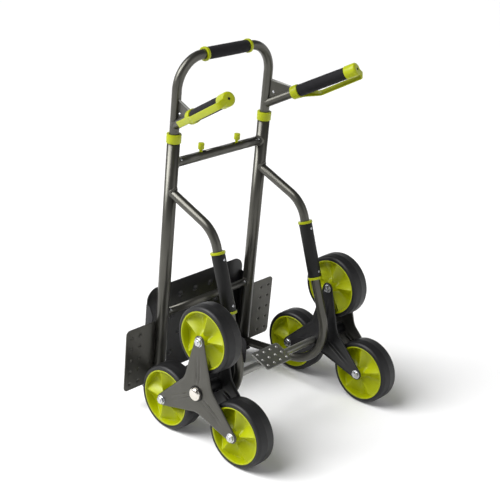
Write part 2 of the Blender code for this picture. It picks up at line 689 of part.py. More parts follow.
def build_plates(truck, look):
    """Wheel guards beside the uprights, feet below them, and the folding toe plate with its rod."""
    for side in (-1, 1):
        name = side_name(side)
        near, far = GUARD_PLATE_X
        low, high = GUARD_PLATE_Z
        outline = [(side * near, low), (side * far, low), (side * far, high), (side * near, high)]
        outline = rounded(outline, GUARD_PLATE_CORNERS)
        guard = slab(outline, GUARD_PLATE_Y, GUARD_PLATE_Y + SHEET, "xz")
        finish(guard, "wheel_guard_" + name, look["plate"], truck)

        ground = -tan(LEAN)
        outline = [(y, y * ground) for y in (BRACKET_HEEL, BRACKET_TOE)] + BRACKET_OUTLINE
        inner = HALF_SPACING - UPRIGHT_R - GAP
        bracket = slab(outline, *sorted((side * (inner - BRACKET_T), side * inner)))
        bracket = finish(bracket, "foot_bracket_" + name, look["black"], truck)
        pad_x = sorted((side * (inner - PAD_OVERLAP), side * PAD_OUTER_X))
        pad = box((pad_x[0], -PAD_HALF_DEPTH, UPRIGHT_BOTTOM - PAD_T),
                  (pad_x[1], PAD_HALF_DEPTH, UPRIGHT_BOTTOM - GAP))
        combine(bracket, tool(pad, "foot_pad_" + name, truck), 'UNION')
        x = side * inner
        hole = straight((x - OVERCUT, *HINGE), (x + OVERCUT, *HINGE))
        hole = bar(hole, bore_round(HINGE_R, HINGE_SIDES), HINGE_SIDES)
        combine(bracket, tool(hole, "foot_hole_" + name, truck), 'DIFFERENCE')

    pivot = (0, *HINGE)
    width = TOE_HALF_WIDTH
    rod = straight((-width - ROD_PAST_FLANGE, 0, 0), (width + ROD_PAST_FLANGE, 0, 0))
    finish(bar(rod, HINGE_R, HINGE_SIDES), "toe_hinge_rod", look["zinc"], truck, pivot)
    low, high = TOE_BOTTOM - HINGE[1], TOE_TOP - HINGE[1]
    outline = rounded([(-width, low), (width, low), (width, high), (-width, high)],
                      [0, 0, TOE_CORNER, TOE_CORNER], 6)
    back = TOE_FACE_Y - SHEET - HINGE[0]
    front = TOE_FACE_Y - HINGE[0]
    plate = finish(slab(outline, back, front, "xz"), "toe_plate", look["black"], truck, pivot)
    for side in (-1, 1):
        root = front - FLANGE_OVERLAP
        profile = [(root, low + FLANGE_Z[0])] + FLANGE_OUTLINE + [(root, FLANGE_Z[1])]
        flange = slab(profile, *sorted((side * (width - SHEET), side * (width - FLANGE_INSET))))
        name = side_name(side)
        combine(plate, tool(flange, "toe_flange_" + name, truck, pivot), 'UNION')
        hole = straight((side * (width - OVERCUT), 0, 0), (side * (width + OVERCUT), 0, 0))
        hole = bar(hole, bore_round(HINGE_R, HINGE_SIDES), HINGE_SIDES)
        combine(plate, tool(hole, "toe_hole_" + name, truck, pivot), 'DIFFERENCE')


def main():
    clear_scene()
    look = {
        "paint": material("frame_paint", "55554f", 0.35, 0.6),
        "plate": material("plate_paint", "5c5c58", 0.42, 0.5),
        "black": material("black_paint", "26262a", 0.45, 0.2),
        "black_plastic": material("black_plastic", "1c1c1e", 0.5, 0.0),
        "foam": material("grip_foam", "1b1b1e", 0.85, 0.0),
        "lime": material("lime_plastic", "bccb00", 0.4, 0.0),
        "rubber": material("tyre_rubber", "2b2b2e", 0.8, 0.0),
        "zinc": material("zinc_steel", "c8c8c8", 0.3, 1.0),
        "chrome": material("chrome", "d8d4cc", 0.12, 1.0),
    }
    truck = bpy.data.objects.new("truck", None)
    truck.rotation_euler = (LEAN, 0, 0)
    rear = HUB_Y * cos(LEAN) - HUB_Z * sin(LEAN) - CLUSTER_R * cos(pi / 6) - TYRE_R
    front = TOE_FACE_Y * cos(LEAN) - TOE_BOTTOM * sin(LEAN)
    truck.location.y = -(rear + front) / 2
    bpy.context.scene.collection.objects.link(truck)
    build_frame(truck, look)
    build_knobs(truck, look)
    build_handle(truck, look)
    build_axle(truck, look)
    for side in (-1, 1):
        build_cluster(truck, look, side)
    build_plates(truck, look)


main()
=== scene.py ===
import json
from math import atan2, cos, exp, pi, radians, sin, sqrt, tan

import bmesh
import bpy
from mathutils import Matrix, Vector


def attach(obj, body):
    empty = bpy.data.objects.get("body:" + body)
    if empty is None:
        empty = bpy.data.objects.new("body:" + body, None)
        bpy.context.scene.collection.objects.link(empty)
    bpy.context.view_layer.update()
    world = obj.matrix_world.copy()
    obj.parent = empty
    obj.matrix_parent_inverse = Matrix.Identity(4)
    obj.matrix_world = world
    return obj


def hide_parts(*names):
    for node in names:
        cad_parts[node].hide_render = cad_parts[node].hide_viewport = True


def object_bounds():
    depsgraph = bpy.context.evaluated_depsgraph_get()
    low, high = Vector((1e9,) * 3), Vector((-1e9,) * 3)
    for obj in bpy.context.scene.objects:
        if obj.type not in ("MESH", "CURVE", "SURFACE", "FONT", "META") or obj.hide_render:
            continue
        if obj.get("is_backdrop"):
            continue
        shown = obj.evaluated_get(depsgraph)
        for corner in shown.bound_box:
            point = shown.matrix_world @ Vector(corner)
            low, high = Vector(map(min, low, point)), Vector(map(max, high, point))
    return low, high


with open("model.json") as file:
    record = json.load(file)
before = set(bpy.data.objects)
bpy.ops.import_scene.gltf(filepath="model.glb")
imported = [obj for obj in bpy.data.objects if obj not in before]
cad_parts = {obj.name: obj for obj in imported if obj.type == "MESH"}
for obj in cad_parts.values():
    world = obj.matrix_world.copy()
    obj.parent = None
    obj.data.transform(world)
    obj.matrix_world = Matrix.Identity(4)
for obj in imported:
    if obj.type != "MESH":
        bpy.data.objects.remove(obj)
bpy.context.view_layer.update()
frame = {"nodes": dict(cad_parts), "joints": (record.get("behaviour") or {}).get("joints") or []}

# ---- Uprights ---------------------------------------------------------------------------------
# Two straight steel tubes, 30 mm across with a 1.5 mm wall, that carry everything else. They are
# sawn, welded to the crossbars and powder-coated in a metallic grey. The frame leans back by about
# two degrees, so each size below is laid out along the uprights, from the floor up.
SIDES = {-1: "left", 1: "right"}
UPRIGHT_X = 0.150
UPRIGHT_R = 0.015
UPRIGHT_WALL = 0.0015
UPRIGHT_FOOT = 0.030
UPRIGHT_TOP = 0.674

# the truck's own axes: x to its right, y to the front and z along the uprights
RIGHT = Vector((1, 0, 0))
TALL = Vector((0, 0, 1))
slide = next(j for j in frame["joints"] if j["name"] == "handle_slide")
UP = Vector(slide["axis"]).normalized()
SLIDE_HEIGHT = 0.677              # where the handle's slide is placed along the uprights
TRUCK = Matrix((RIGHT, UP.cross(RIGHT), UP)).transposed().to_4x4()
TRUCK.translation = Vector(slide["pos_m"]) - UP * SLIDE_HEIGHT


def srgb(hex_colour):
    """An sRGB hex colour as the linear values that a shader takes."""
    channels = [int(hex_colour[i:i + 2], 16) / 255 for i in (0, 2, 4)]
    return (*[c / 12.92 if c <= 0.04045 else ((c + 0.055) / 1.055) ** 2.4 for c in channels], 1.0)


def per_mm(size):
    """Texture scale that gives a pattern features of this many millimetres."""
    return 1000 / size


def add(finish, kind, settings=None, links=None):
    """Adds one node to a finish, with its settings and the outputs that feed it."""
    node = finish.node_tree.nodes.new(kind)
    for name, value in (settings or {}).items():
        if isinstance(name, str) and hasattr(node, name):
            setattr(node, name, value)
        else:
            node.inputs[name].default_value = value
    for socket, (source, output) in (links or {}).items():
        finish.node_tree.links.new(source.outputs[output], node.inputs[socket])
    return node


def start_finish(name, shader_settings):
    """A new material, its shader with the values that are the same all over, and Object coordinates."""
    finish = bpy.data.materials.new(name)
    finish.use_nodes = True
    shader = finish.node_tree.nodes["Principled BSDF"]
    for socket, value in shader_settings.items():
        shader.inputs[socket].default_value = value
    place = add(finish, "ShaderNodeTexCoord")
    laid = add(finish, "ShaderNodeMapping", {}, {"Vector": (place, "Object")})
    return finish, shader, laid


def feed(finish, shader, socket, source, output):
    """Links one output to a socket of the shader."""
    finish.node_tree.links.new(source.outputs[output], shader.inputs[socket])


def dress(finish, shader, tones, tone, rough, cloud, relief, grain):
    """Gives a shader a colour between two tones, a roughness between two values and a fine relief,
    each from a texture. The relief is the bump's strength and its height in metres."""
    dark, light = tones
    colour = add(finish, "ShaderNodeMix", {"data_type": "RGBA", 6: srgb(dark), 7: srgb(light)},
                 {0: (tone, 0)})
    feed(finish, shader, "Base Color", colour, 2)
    gloss = add(finish, "ShaderNodeMapRange", {3: rough[0], 4: rough[1]}, {0: (cloud, 0)})
    feed(finish, shader, "Roughness", gloss, 0)
    bump = add(finish, "ShaderNodeBump", {"Strength": relief[0], "Distance": relief[1]},
               {"Height": (grain, 0)})
    feed(finish, shader, "Normal", bump, 0)


def powder_coat(name, dark, light, metallic, rough, peel):
    """Baked powder coat: fine flake in the colour, a gloss that varies a little, and orange peel."""
    finish, shader, laid = start_finish(name, {"Metallic": metallic, "IOR": 1.5})
    # the real flake is about 0.05 mm; it is drawn at 0.7 mm so that it shows
    flake = add(finish, "ShaderNodeTexNoise", {"Scale": per_mm(0.7), "Detail": 2.0}, {"Vector": (laid, 0)})
    cloud = add(finish, "ShaderNodeTexNoise", {"Scale": per_mm(45), "Detail": 3.0}, {"Vector": (laid, 0)})
    sparkle = add(finish, "ShaderNodeMath", {"operation": "MULTIPLY_ADD", 1: 0.3, 2: 0.1}, {0: (flake, 0)})
    tone = add(finish, "ShaderNodeMath", {"operation": "MULTIPLY_ADD", 1: 0.5},
               {0: (cloud, 0), 2: (sparkle, 0)})
    waves = add(finish, "ShaderNodeTexNoise", {"Scale": per_mm(2.4), "Detail": 1.0}, {"Vector": (laid, 0)})
    dress(finish, shader, (dark, light), tone, (rough - 0.05, rough + 0.06), cloud, (peel, 0.0002), waves)
    return finish


# Metallic grey powder coat on steel: a dark silver with a satin gloss that lights up along a tube.
grey_coat = powder_coat("metallic_grey_powder_coat", "42413d", "62615b", 0.86, 0.30, 0.06)


def round_section(radius, start, heading, sides=48):
    """The open end of a round tube, square to the way it sets off."""
    bm = bmesh.new()
    turn = TALL.rotation_difference(heading).to_matrix().to_4x4()
    bmesh.ops.create_circle(bm, segments=sides, radius=radius, matrix=Matrix.Translation(start) @ turn)
    return bm


def points_of(made):
    """The points among what an operator made."""
    return [v for v in made if isinstance(v, bmesh.types.BMVert)]


def pull_out(bm, row):
    """Extrudes a row of edges, and returns the new row and its points."""
    made = bmesh.ops.extrude_edge_only(bm, edges=row)["geom"]
    fresh = points_of(made)
    kept = set(fresh)
    return [e for e in made if isinstance(e, bmesh.types.BMEdge) and kept.issuperset(e.verts)], fresh


def draw_along(bm, points, capped=True):
    """Pulls the loop in bm along a path and turns it with the path, as a tube is drawn and bent."""
    ring = list(bm.edges)
    if capped and not bm.faces:
        bmesh.ops.contextual_create(bm, geom=ring)
    heading = (points[1] - points[0]).normalized()
    for i in range(1, len(points)):
        ahead = (points[i] - points[i - 1]).normalized()
        if i + 1 < len(points):
            ahead = (ahead + (points[i + 1] - points[i]).normalized()).normalized()
        turn = heading.rotation_difference(ahead).to_matrix().to_4x4()
        step = Matrix.Translation(points[i]) @ turn @ Matrix.Translation(-points[i - 1])
        ring, moved = pull_out(bm, ring)
        bmesh.ops.transform(bm, matrix=step, verts=moved)
        heading = ahead
    if capped:
        bmesh.ops.contextual_create(bm, geom=ring)
    return bm


def round_bar(points, radius, sides=48, capped=True):
    """A round tube or bar along a path."""
    heading = (points[1] - points[0]).normalized()
    return draw_along(round_section(radius, points[0], heading, sides), points, capped)


def join(bm, *others):
    """Adds other shapes to bm, so that they become one piece."""
    for other in others:
        spare = bpy.data.meshes.new("spare")
        other.to_mesh(spare)
        other.free()
        bm.from_mesh(spare)
        bpy.data.meshes.remove(spare)
    return bm


def fit(bm, name, body, finish, nodes=(), wall=0.0, edge=0.0, sharp=35):
    """Turns a shape into a piece in its place on the truck, which rides on a body for its CAD nodes."""
    bmesh.ops.remove_doubles(bm, verts=bm.verts, dist=1e-6)
    bmesh.ops.recalc_face_normals(bm, faces=bm.faces)
    bmesh.ops.transform(bm, matrix=TRUCK, verts=bm.verts)
    mesh = bpy.data.meshes.new(name)
    bm.to_mesh(mesh)
    bm.free()
    mesh.materials.append(finish)
    mesh.shade_smooth()
    mesh.set_sharp_from_angle(angle=radians(sharp))
    piece = bpy.data.objects.new(name, mesh)
    bpy.context.scene.collection.objects.link(piece)
    if wall:
        sheet = piece.modifiers.new("wall", 'SOLIDIFY')
        sheet.thickness = wall
        sheet.offset = -1
        sheet.use_even_offset = True
    if edge:
        bevel = piece.modifiers.new("eased_edges", 'BEVEL')
        bevel.width = edge
        bevel.segments = 2
        bevel.limit_method = 'ANGLE'
        bevel.angle_limit = radians(sharp)
    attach(piece, body)
    if nodes:
        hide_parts(*nodes)
    return piece


for side, name in SIDES.items():
    x = side * UPRIGHT_X
    ends = [Vector((x, 0, UPRIGHT_FOOT)), Vector((x, 0, UPRIGHT_TOP))]
    fit(round_bar(ends, UPRIGHT_R, 64, capped=False), "upright_tube_" + name, "frame", grey_coat,
        ["upright_" + name], wall=UPRIGHT_WALL)

# ---- Crossbars --------------------------------------------------------------------------------
# Two round tubes between the uprights, coped and welded all round, in the same grey coat. The upper
# one is 22 mm and has two slots on top for the lock knobs; the lower one is 19 mm.
UPPER_BAR = (0.606, 0.011)        # height and radius
LOWER_BAR = (0.223, 0.0095)
BAR_WALL = 0.0017
BAR_REACH = 0.138                 # the coped end, from the middle
KNOB_X = 0.060
SLOT_X = (KNOB_X - 0.016, KNOB_X + 0.004)   # room for the knob to slide inwards
SLOT_HALF = 0.0036
WELD_R = 0.0021
WELD_RIPPLES = 26
WELD_RIPPLE = 0.035               # as a share of the bead


def weld_bead(crossing, branch, main_r, branch_r, lean=0.0):
    """Fillet weld round a tube that meets a thicker one along the uprights: a torus laid on the
    saddle between them."""
    bm = bmesh.new()
    stand = Matrix.Translation((branch_r + WELD_R / 4, 0, 0)) @ Matrix.Rotation(pi / 2, 4, 'X')
    bmesh.ops.create_circle(bm, segments=10, radius=WELD_R, matrix=stand)
    bmesh.ops.spin(bm, geom=bm.verts[:] + bm.edges[:], cent=(0, 0, 0), axis=(0, 0, 1),
                   angle=2 * pi, steps=96, use_merge=True)
    reach = main_r * 0.99
    for v in bm.verts:
        ripple = 1 + WELD_RIPPLE * sin(WELD_RIPPLES * atan2(v.co.y, v.co.x))
        v.co.x *= ripple / cos(lean)
        v.co.y = min(max(v.co.y * ripple, -reach), reach)
        v.co.z += sqrt(main_r ** 2 - v.co.y ** 2) + v.co.x * tan(lean)
    place = Matrix((TALL, branch.cross(TALL), branch)).transposed().to_4x4()
    place.translation = crossing
    bmesh.ops.transform(bm, matrix=place, verts=bm.verts)
    return bm


for label, (height, radius) in (("upper", UPPER_BAR), ("lower", LOWER_BAR)):
    ends = [Vector((-BAR_REACH, 0, height)), Vector((BAR_REACH, 0, height))]
    bar = round_bar(ends, radius, 64, capped=False)
    if label == "upper":
        cuts = [((side * x, 0, 0), (1, 0, 0)) for side in SIDES for x in SLOT_X]
        cuts += [((0, y, 0), (0, 1, 0)) for y in (-SLOT_HALF, SLOT_HALF)]
        for place, square in cuts:
            bmesh.ops.bisect_plane(bar, geom=bar.verts[:] + bar.edges[:] + bar.faces[:], dist=1e-6,
                                   plane_co=place, plane_no=square)
        slots = []
        for face in bar.faces:
            middle = face.calc_center_median()
            inside = SLOT_X[0] < abs(middle.x) < SLOT_X[1] and abs(middle.y) < SLOT_HALF
            if inside and middle.z > height:
                slots.append(face)
        bmesh.ops.delete(bar, geom=slots, context='FACES')
    fit(bar, label + "_crossbar_tube", "frame", grey_coat, [label + "_crossbar"],
        wall=BAR_WALL)
    for side, name in SIDES.items():
        bead = weld_bead(Vector((side * UPRIGHT_X, 0, height)), -side * RIGHT, UPRIGHT_R, radius)
        fit(bead, label + "_crossbar_weld_" + name, "frame", grey_coat)

# ---- Legs -------------------------------------------------------------------------------------
# One bent 22 mm tube on each side runs back from the upright, down to the main axle and forward to
# the upright's foot. It is in two lengths that meet inside a plastic sleeve; both ends are welded.
LEG_R = 0.011
LEG_TOP = Vector((0, -0.0154, 0.534))
LEG_KNEE = Vector((0, -0.145, 0.490))
LEG_HEEL = Vector((0, -0.2975, 0.098))
LEG_FOOT = Vector((0, -0.0154, 0.0525))
KNEE_BEND = 0.080
HEEL_BEND = 0.104
LEG_INTO_UPRIGHT = 0.0035
LEG_JOINT_Z = 0.3795              # where its two lengths meet
LEG_JOINT_GAP = 0.004             # from there to the end of each


def point_on_leg(height):
    """The point at a height on the straight run between knee and heel."""
    return LEG_KNEE + (LEG_HEEL - LEG_KNEE) * (LEG_KNEE.z - height) / (LEG_KNEE.z - LEG_HEEL.z)


def bend(corners, radii, steps=14):
    """Path through corners with a round bend at each inner one."""
    points = [corners[0]]
    for before, corner, after, radius in zip(corners, corners[1:], corners[2:], radii):
        back = (before - corner).normalized()
        ahead = (after - corner).normalized()
        half = back.angle(ahead) / 2
        centre = corner + (back + ahead).normalized() * radius / sin(half)
        start = corner + back * radius / tan(half) - centre
        axis = ahead.cross(back).normalized()
        for i in range(steps + 1):
            turn = Matrix.Rotation((pi - 2 * half) * i / steps, 3, axis)
            points.append(centre + turn @ start)
    return points + [corners[-1]]


down_leg = (LEG_HEEL - LEG_KNEE).normalized()
leg_joint = point_on_leg(LEG_JOINT_Z)
leg_start = LEG_TOP + (LEG_TOP - LEG_KNEE).normalized() * LEG_INTO_UPRIGHT
leg_end = LEG_FOOT + (LEG_FOOT - LEG_HEEL).normalized() * LEG_INTO_UPRIGHT
upper_run = bend([leg_start, LEG_KNEE, leg_joint - down_leg * LEG_JOINT_GAP], [KNEE_BEND])
lower_run = bend([leg_joint + down_leg * LEG_JOINT_GAP, LEG_HEEL, leg_end], [HEEL_BEND], 24)
for side, name in SIDES.items():
    shift = side * UPRIGHT_X * RIGHT
    for label, run in (("upper", upper_run), ("lower", lower_run)):
        tube = round_bar([p + shift for p in run], LEG_R)
        fit(tube, label + "_leg_tube_" + name, "frame", grey_coat,
            [label + "_leg_" + name])
    for label, end, toward in (("top", LEG_TOP, LEG_KNEE), ("foot", LEG_FOOT, LEG_HEEL)):
        slope = (toward.z - end.z) / abs(toward.y - end.y)
        crossing = Vector((side * UPRIGHT_X, 0, end.z - slope * abs(end.y)))
        bead = weld_bead(crossing, Vector((0, -1, 0)), UPRIGHT_R, LEG_R)
        fit(bead, "leg_weld_" + label + "_" + name, "frame", grey_coat)

# ---- Leg sleeves ------------------------------------------------------------------------------
# A black plastic sleeve, 145 mm long, covers the joint of each leg. It is moulded with a fine spark
# texture, sits between two lime rings of its inner liner and is held by two small screws behind.
SLEEVE_Z = (0.312, 0.447)
SLEEVE_R = 0.016
SLEEVE_RING_R = 0.0176
SLEEVE_RING_WIDTH = 0.006
SCREW_R = 0.0030
SCREW_INSET = 0.019               # from the sleeve's ends
BAR_SCREW_INSET = 0.0205          # from the upright's axis, on the crossbars
CLEARANCE = 0.0002                # between parts that would otherwise share a face


def lathe(profile, start, direction, steps=72):
    """A turned part: (distance along the axis, radius) points spun round the axis."""
    bm = bmesh.new()
    corners = [bm.verts.new((radius, 0, along)) for along, radius in profile]
    edges = [bm.edges.new(pair) for pair in zip(corners, corners[1:])]
    bmesh.ops.spin(bm, geom=corners + edges, cent=(0, 0, 0), axis=(0, 0, 1), angle=2 * pi,
                   steps=steps, use_merge=True)
    bmesh.ops.remove_doubles(bm, verts=bm.verts, dist=1e-6)
    turn = TALL.rotation_difference(direction).to_matrix().to_4x4()
    bmesh.ops.transform(bm, matrix=Matrix.Translation(start) @ turn, verts=bm.verts)
    return bm


def eased(profile, ease, closed=True):
    """A profile with each of its corners cut back twice, so that the turned part has soft edges."""
    points = [Vector(p) for p in profile]
    count = len(points)
    soft = []
    for i, corner in enumerate(points):
        if not closed and i in (0, count - 1):
            soft.append(corner)
            continue
        before = points[i - 1] - corner
        after = points[(i + 1) % count] - corner
        reach = min(ease, before.length * 0.45, after.length * 0.45)
        first = corner + before.normalized() * reach
        last = corner + after.normalized() * reach
        soft += [first, (first + last) / 4 + corner / 2, last]
    if closed:
        soft.append(soft[0])
    return [tuple(p) for p in soft]


def hoop(low, high, inner, outer, ease):
    """Profile of a plain ring or tube, from low to high along its axis, with eased edges."""
    return eased([(low, inner), (low, outer), (high, outer), (high, inner)], ease)


def turned_bar(low, high, radius, ease):
    """Profile of a solid round bar with eased ends."""
    return eased([(low, 0), (low, radius), (high, radius), (high, 0)], ease, closed=False)


def moulded(name, dark, light, rough, grain, depth):
    """Injection-moulded plastic: an almost even colour and the texture of the mould."""
    finish, shader, laid = start_finish(name, {"Metallic": 0.0, "IOR": 1.5, "Specular IOR Level": 0.3})
    cloud = add(finish, "ShaderNodeTexNoise", {"Scale": per_mm(30), "Detail": 4.0}, {"Vector": (laid, 0)})
    spark = add(finish, "ShaderNodeTexNoise", {"Scale": per_mm(grain), "Detail": 2.0},
                {"Vector": (laid, 0)})
    dress(finish, shader, (dark, light), cloud, (rough - 0.04, rough + 0.05), cloud, (depth, 0.0002), spark)
    return finish


# Black polypropylene with a spark-eroded texture: matt, almost no colour.
black_moulding = moulded("spark_textured_black_polypropylene", "060606", "0c0c0c", 0.5, 0.9, 0.3)
# Lime polypropylene: a saturated yellow-green with a soft, waxy gloss.
lime_moulding = moulded("moulded_lime_polypropylene", "929a00", "9fa700", 0.33, 1.6, 0.06)

# Bright zinc plate on steel: cold silver, brushed soft by tumbling, with faint clouds.
zinc_plate, shader, laid = start_finish("bright_zinc_plated_steel", {"Metallic": 1.0})
cloud = add(zinc_plate, "ShaderNodeTexNoise", {"Scale": per_mm(6), "Detail": 4.0}, {"Vector": (laid, 0)})
tumble = add(zinc_plate, "ShaderNodeTexNoise", {"Scale": per_mm(0.8), "Detail": 2.0}, {"Vector": (laid, 0)})
dress(zinc_plate, shader, ("a9abb0", "d9dadd"), cloud, (0.18, 0.34), cloud, (0.15, 0.0001), tumble)

screw_profile = [(-0.002, 0), (-0.002, SCREW_R), (0.0004, SCREW_R), (0.0011, SCREW_R * 0.7),
                 (0.0011, SCREW_R * 0.35), (0.0004, SCREW_R * 0.3), (0.0004, 0)]
behind = Vector((0, down_leg.z, -down_leg.y))
up_and_back = Vector((0, -1, 1)).normalized()
for side, name in SIDES.items():
    # bright zinc screw heads on the crossbars beside each upright: bright points that stand in for the
    # glint on the welds there, a painted highlight
    screws = bmesh.new()
    for height, radius in (UPPER_BAR, LOWER_BAR):
        seat = Vector((side * (UPRIGHT_X - BAR_SCREW_INSET), 0, height)) + up_and_back * radius
        join(screws, lathe(screw_profile, seat, up_and_back, 24))
    fit(screws, "crossbar_glint_screws_" + name, "frame", zinc_plate)
    shift = side * UPRIGHT_X * RIGHT
    start = point_on_leg(SLEEVE_Z[1]) + shift
    end = point_on_leg(SLEEVE_Z[0]) + shift
    run = (end - start).length
    inset = SLEEVE_RING_WIDTH + CLEARANCE
    shell = lathe(hoop(inset, run - inset, LEG_R, SLEEVE_R, 0.0008), start, down_leg)
    fit(shell, "leg_sleeve_shell_" + name, "frame", black_moulding,
        ["leg_sleeve_" + name])
    rings = bmesh.new()
    for near in (0, run - SLEEVE_RING_WIDTH):
        ring = hoop(near, near + SLEEVE_RING_WIDTH, LEG_R, SLEEVE_RING_R, 0.0012)
        join(rings, lathe(ring, start, down_leg))
    fit(rings, "sleeve_liner_rings_" + name, "frame", lime_moulding,
        ["sleeve_liner_" + name])
    screws = bmesh.new()
    for along in (SCREW_INSET, run - SCREW_INSET):
        seat = start + down_leg * along + behind * SLEEVE_R
        join(screws, lathe(screw_profile, seat, behind, 24))
    fit(screws, "sleeve_screws_" + name, "frame", zinc_plate)

# ---- Main axle, gussets and pedal -------------------------------------------------------------
# An 18 mm steel bar crosses the heels of both legs and carries the wheel clusters. A flat gusset in
# each heel holds it, and a dimpled pedal is welded on top of it, a little left of the middle.
HUB = Vector((0, -0.2316, 0.15204))
AXLE_R = 0.009
AXLE_HALF = 0.2660
PEDAL_X = (-0.054, 0.038)
PEDAL_DEPTH = 0.060
PEDAL_TILT = radians(18)
PEDAL_SHEET = 0.0025
PEDAL_LIFT = 0.0003               # its underside above the bar
PEDAL_CORNER_R = 0.007
PEDAL_ROLL = 0.0016               # how far its border turns down
PEDAL_DIMPLES = (4, 3)
PEDAL_PITCH = (0.0219, 0.0185)
PEDAL_MARGIN = 0.013              # from its left edge to the first dimples
PEDAL_DIMPLE_R = 0.0046
PEDAL_DIMPLE_RISE = 0.0031

# Grey powder coat on flat pressings: the same paint, a little flatter in gloss.
plate_coat = powder_coat("metallic_grey_powder_coat_on_sheet", "454440", "5f5e59", 0.8, 0.34, 0.1)
# Black powder coat: a fine satin black that hides the steel.
black_coat = powder_coat("satin_black_powder_coat", "131314", "1e1e20", 0.1, 0.36, 0.3)


def dimpled_sheet(width, depth, pitch, corners, dimples, radius, rise, rolled=0.0):
    """Pressed sheet in the XY plane: a grid with round corners cut off it, domes pushed up in it,
    and its border rolled down over a few millimetres. Corners are (x sign, y sign, radius)."""
    bm = bmesh.new()
    bmesh.ops.create_grid(bm, x_segments=round(width / pitch), y_segments=round(depth / pitch), size=0.5)
    bmesh.ops.scale(bm, vec=(width, depth, 1), verts=bm.verts)
    arc_steps = 9
    for x_sign, y_sign, round_r in corners:
        centre = Vector((x_sign * (width / 2 - round_r), y_sign * (depth / 2 - round_r), 0))
        for i in range(arc_steps):
            about = (i + 0.5) / arc_steps * pi / 2
            away = Vector((x_sign * cos(about), y_sign * sin(about), 0))
            bmesh.ops.bisect_plane(bm, geom=bm.verts[:] + bm.edges[:] + bm.faces[:], dist=1e-6,
                                   plane_co=centre + away * round_r, plane_no=away, clear_outer=True)
    for v in bm.verts:
        flat = v.co.xy
        for place in dimples:
            off = (flat - Vector(place)).length / radius
            if off < 1:
                # a dome with a soft foot
                v.co.z += rise * (1 - off * off) ** 2 * (1 + 0.6 * off * off)
        if rolled:
            inside = min(width / 2 - abs(flat.x), depth / 2 - abs(flat.y))
            for x_sign, y_sign, round_r in corners:
                out = Vector((flat.x * x_sign - width / 2 + round_r, flat.y * y_sign - depth / 2 + round_r))
                if out.x > 0 and out.y > 0:
                    inside = min(inside, round_r - out.length)
            v.co.z -= rolled * max(0.0, 1 - inside / (2.5 * rolled)) ** 2
    return bm


axle = lathe(turned_bar(-AXLE_HALF, AXLE_HALF, AXLE_R, 0.001), HUB, RIGHT, 48)
# The same grey painted lighter: on the axle and on the webs' folded edges it is a painted highlight for the
# bright line along their tops; the pedal takes it as a lighter grey.
lighter_coat_painted_highlight = powder_coat("lighter_grey_coat_painted_highlight", "747470", "a2a29e", 0.9, 0.30, 0.1)
# the whole axle is painted lighter, a painted highlight standing in for the bright line along its top
fit(axle, "main_axle_bar", "frame", lighter_coat_painted_highlight, ["main_axle"])
for name in SIDES.values():
    gusset = frame["nodes"]["axle_gusset_" + name]
    gusset.data.materials.clear()
    gusset.data.materials.append(black_coat)

pedal_width = PEDAL_X[1] - PEDAL_X[0]
columns = [PEDAL_MARGIN - pedal_width / 2 + PEDAL_PITCH[0] * i for i in range(PEDAL_DIMPLES[0])]
rows = [PEDAL_PITCH[1] * (i - (PEDAL_DIMPLES[1] - 1) / 2) for i in range(PEDAL_DIMPLES[1])]
corners = [(i, j, PEDAL_CORNER_R) for i in SIDES for j in SIDES]
pedal = dimpled_sheet(pedal_width, PEDAL_DEPTH, 0.0011, corners, [(x, y) for x in columns for y in rows],
                      PEDAL_DIMPLE_R, PEDAL_DIMPLE_RISE, rolled=PEDAL_ROLL)
lift = Matrix.Translation(HUB + Vector((sum(PEDAL_X) / 2, 0, 0))) @ Matrix.Rotation(PEDAL_TILT, 4, 'X')
lift = lift @ Matrix.Translation((0, 0, AXLE_R + PEDAL_LIFT + PEDAL_SHEET))
bmesh.ops.transform(pedal, matrix=lift, verts=pedal.verts)
fit(pedal, "foot_pedal_sheet", "frame", lighter_coat_painted_highlight, ["foot_pedal"], wall=PEDAL_SHEET)

# ---- Feet and wheel guards --------------------------------------------------------------------
# A black plate bracket under each upright stands on the floor and carries the toe plate's rod. Beside
# each upright a pressed guard with two columns of dents keeps the load off the wheels.
GUARD_X = (0.1622, 0.255)
GUARD_Z = (0.0395, 0.2035)
GUARD_BACK = 0.0100
GUARD_SHEET = 0.0025
GUARD_CORNER_R = {"outer": 0.011, "inner": 0.004}
DENT_X = (0.212, 0.239)
DENT_Z = (0.181, 0.151, 0.120, 0.089, 0.057)
DENT_R = 0.0056
DENT_DEPTH = 0.0030

for name in SIDES.values():
    bracket = frame["nodes"]["foot_bracket_" + name]
    bracket.data.materials.clear()
    bracket.data.materials.append(black_coat)
guard_width = GUARD_X[1] - GUARD_X[0]
guard_height = GUARD_Z[1] - GUARD_Z[0]
for side, name in SIDES.items():
    middle = Vector((side * sum(GUARD_X) / 2, GUARD_BACK, sum(GUARD_Z) / 2))
    dents = [(side * x - middle.x, z - middle.z) for x in DENT_X for z in DENT_Z]
    corners = [(side, way, GUARD_CORNER_R["outer"]) for way in (1, -1)]
    corners += [(-side, way, GUARD_CORNER_R["inner"]) for way in (1, -1)]
    guard = dimpled_sheet(guard_width, guard_height, 0.0014, corners, dents, DENT_R, -DENT_DEPTH)
    # the sheet's own up is turned to face backwards
    stand = Matrix.Translation(middle) @ Matrix.Rotation(pi / 2, 4, 'X')
    bmesh.ops.transform(guard, matrix=stand, verts=guard.verts)
    fit(guard, "wheel_guard_sheet_" + name, "frame", plate_coat,
        ["wheel_guard_" + name], wall=GUARD_SHEET)

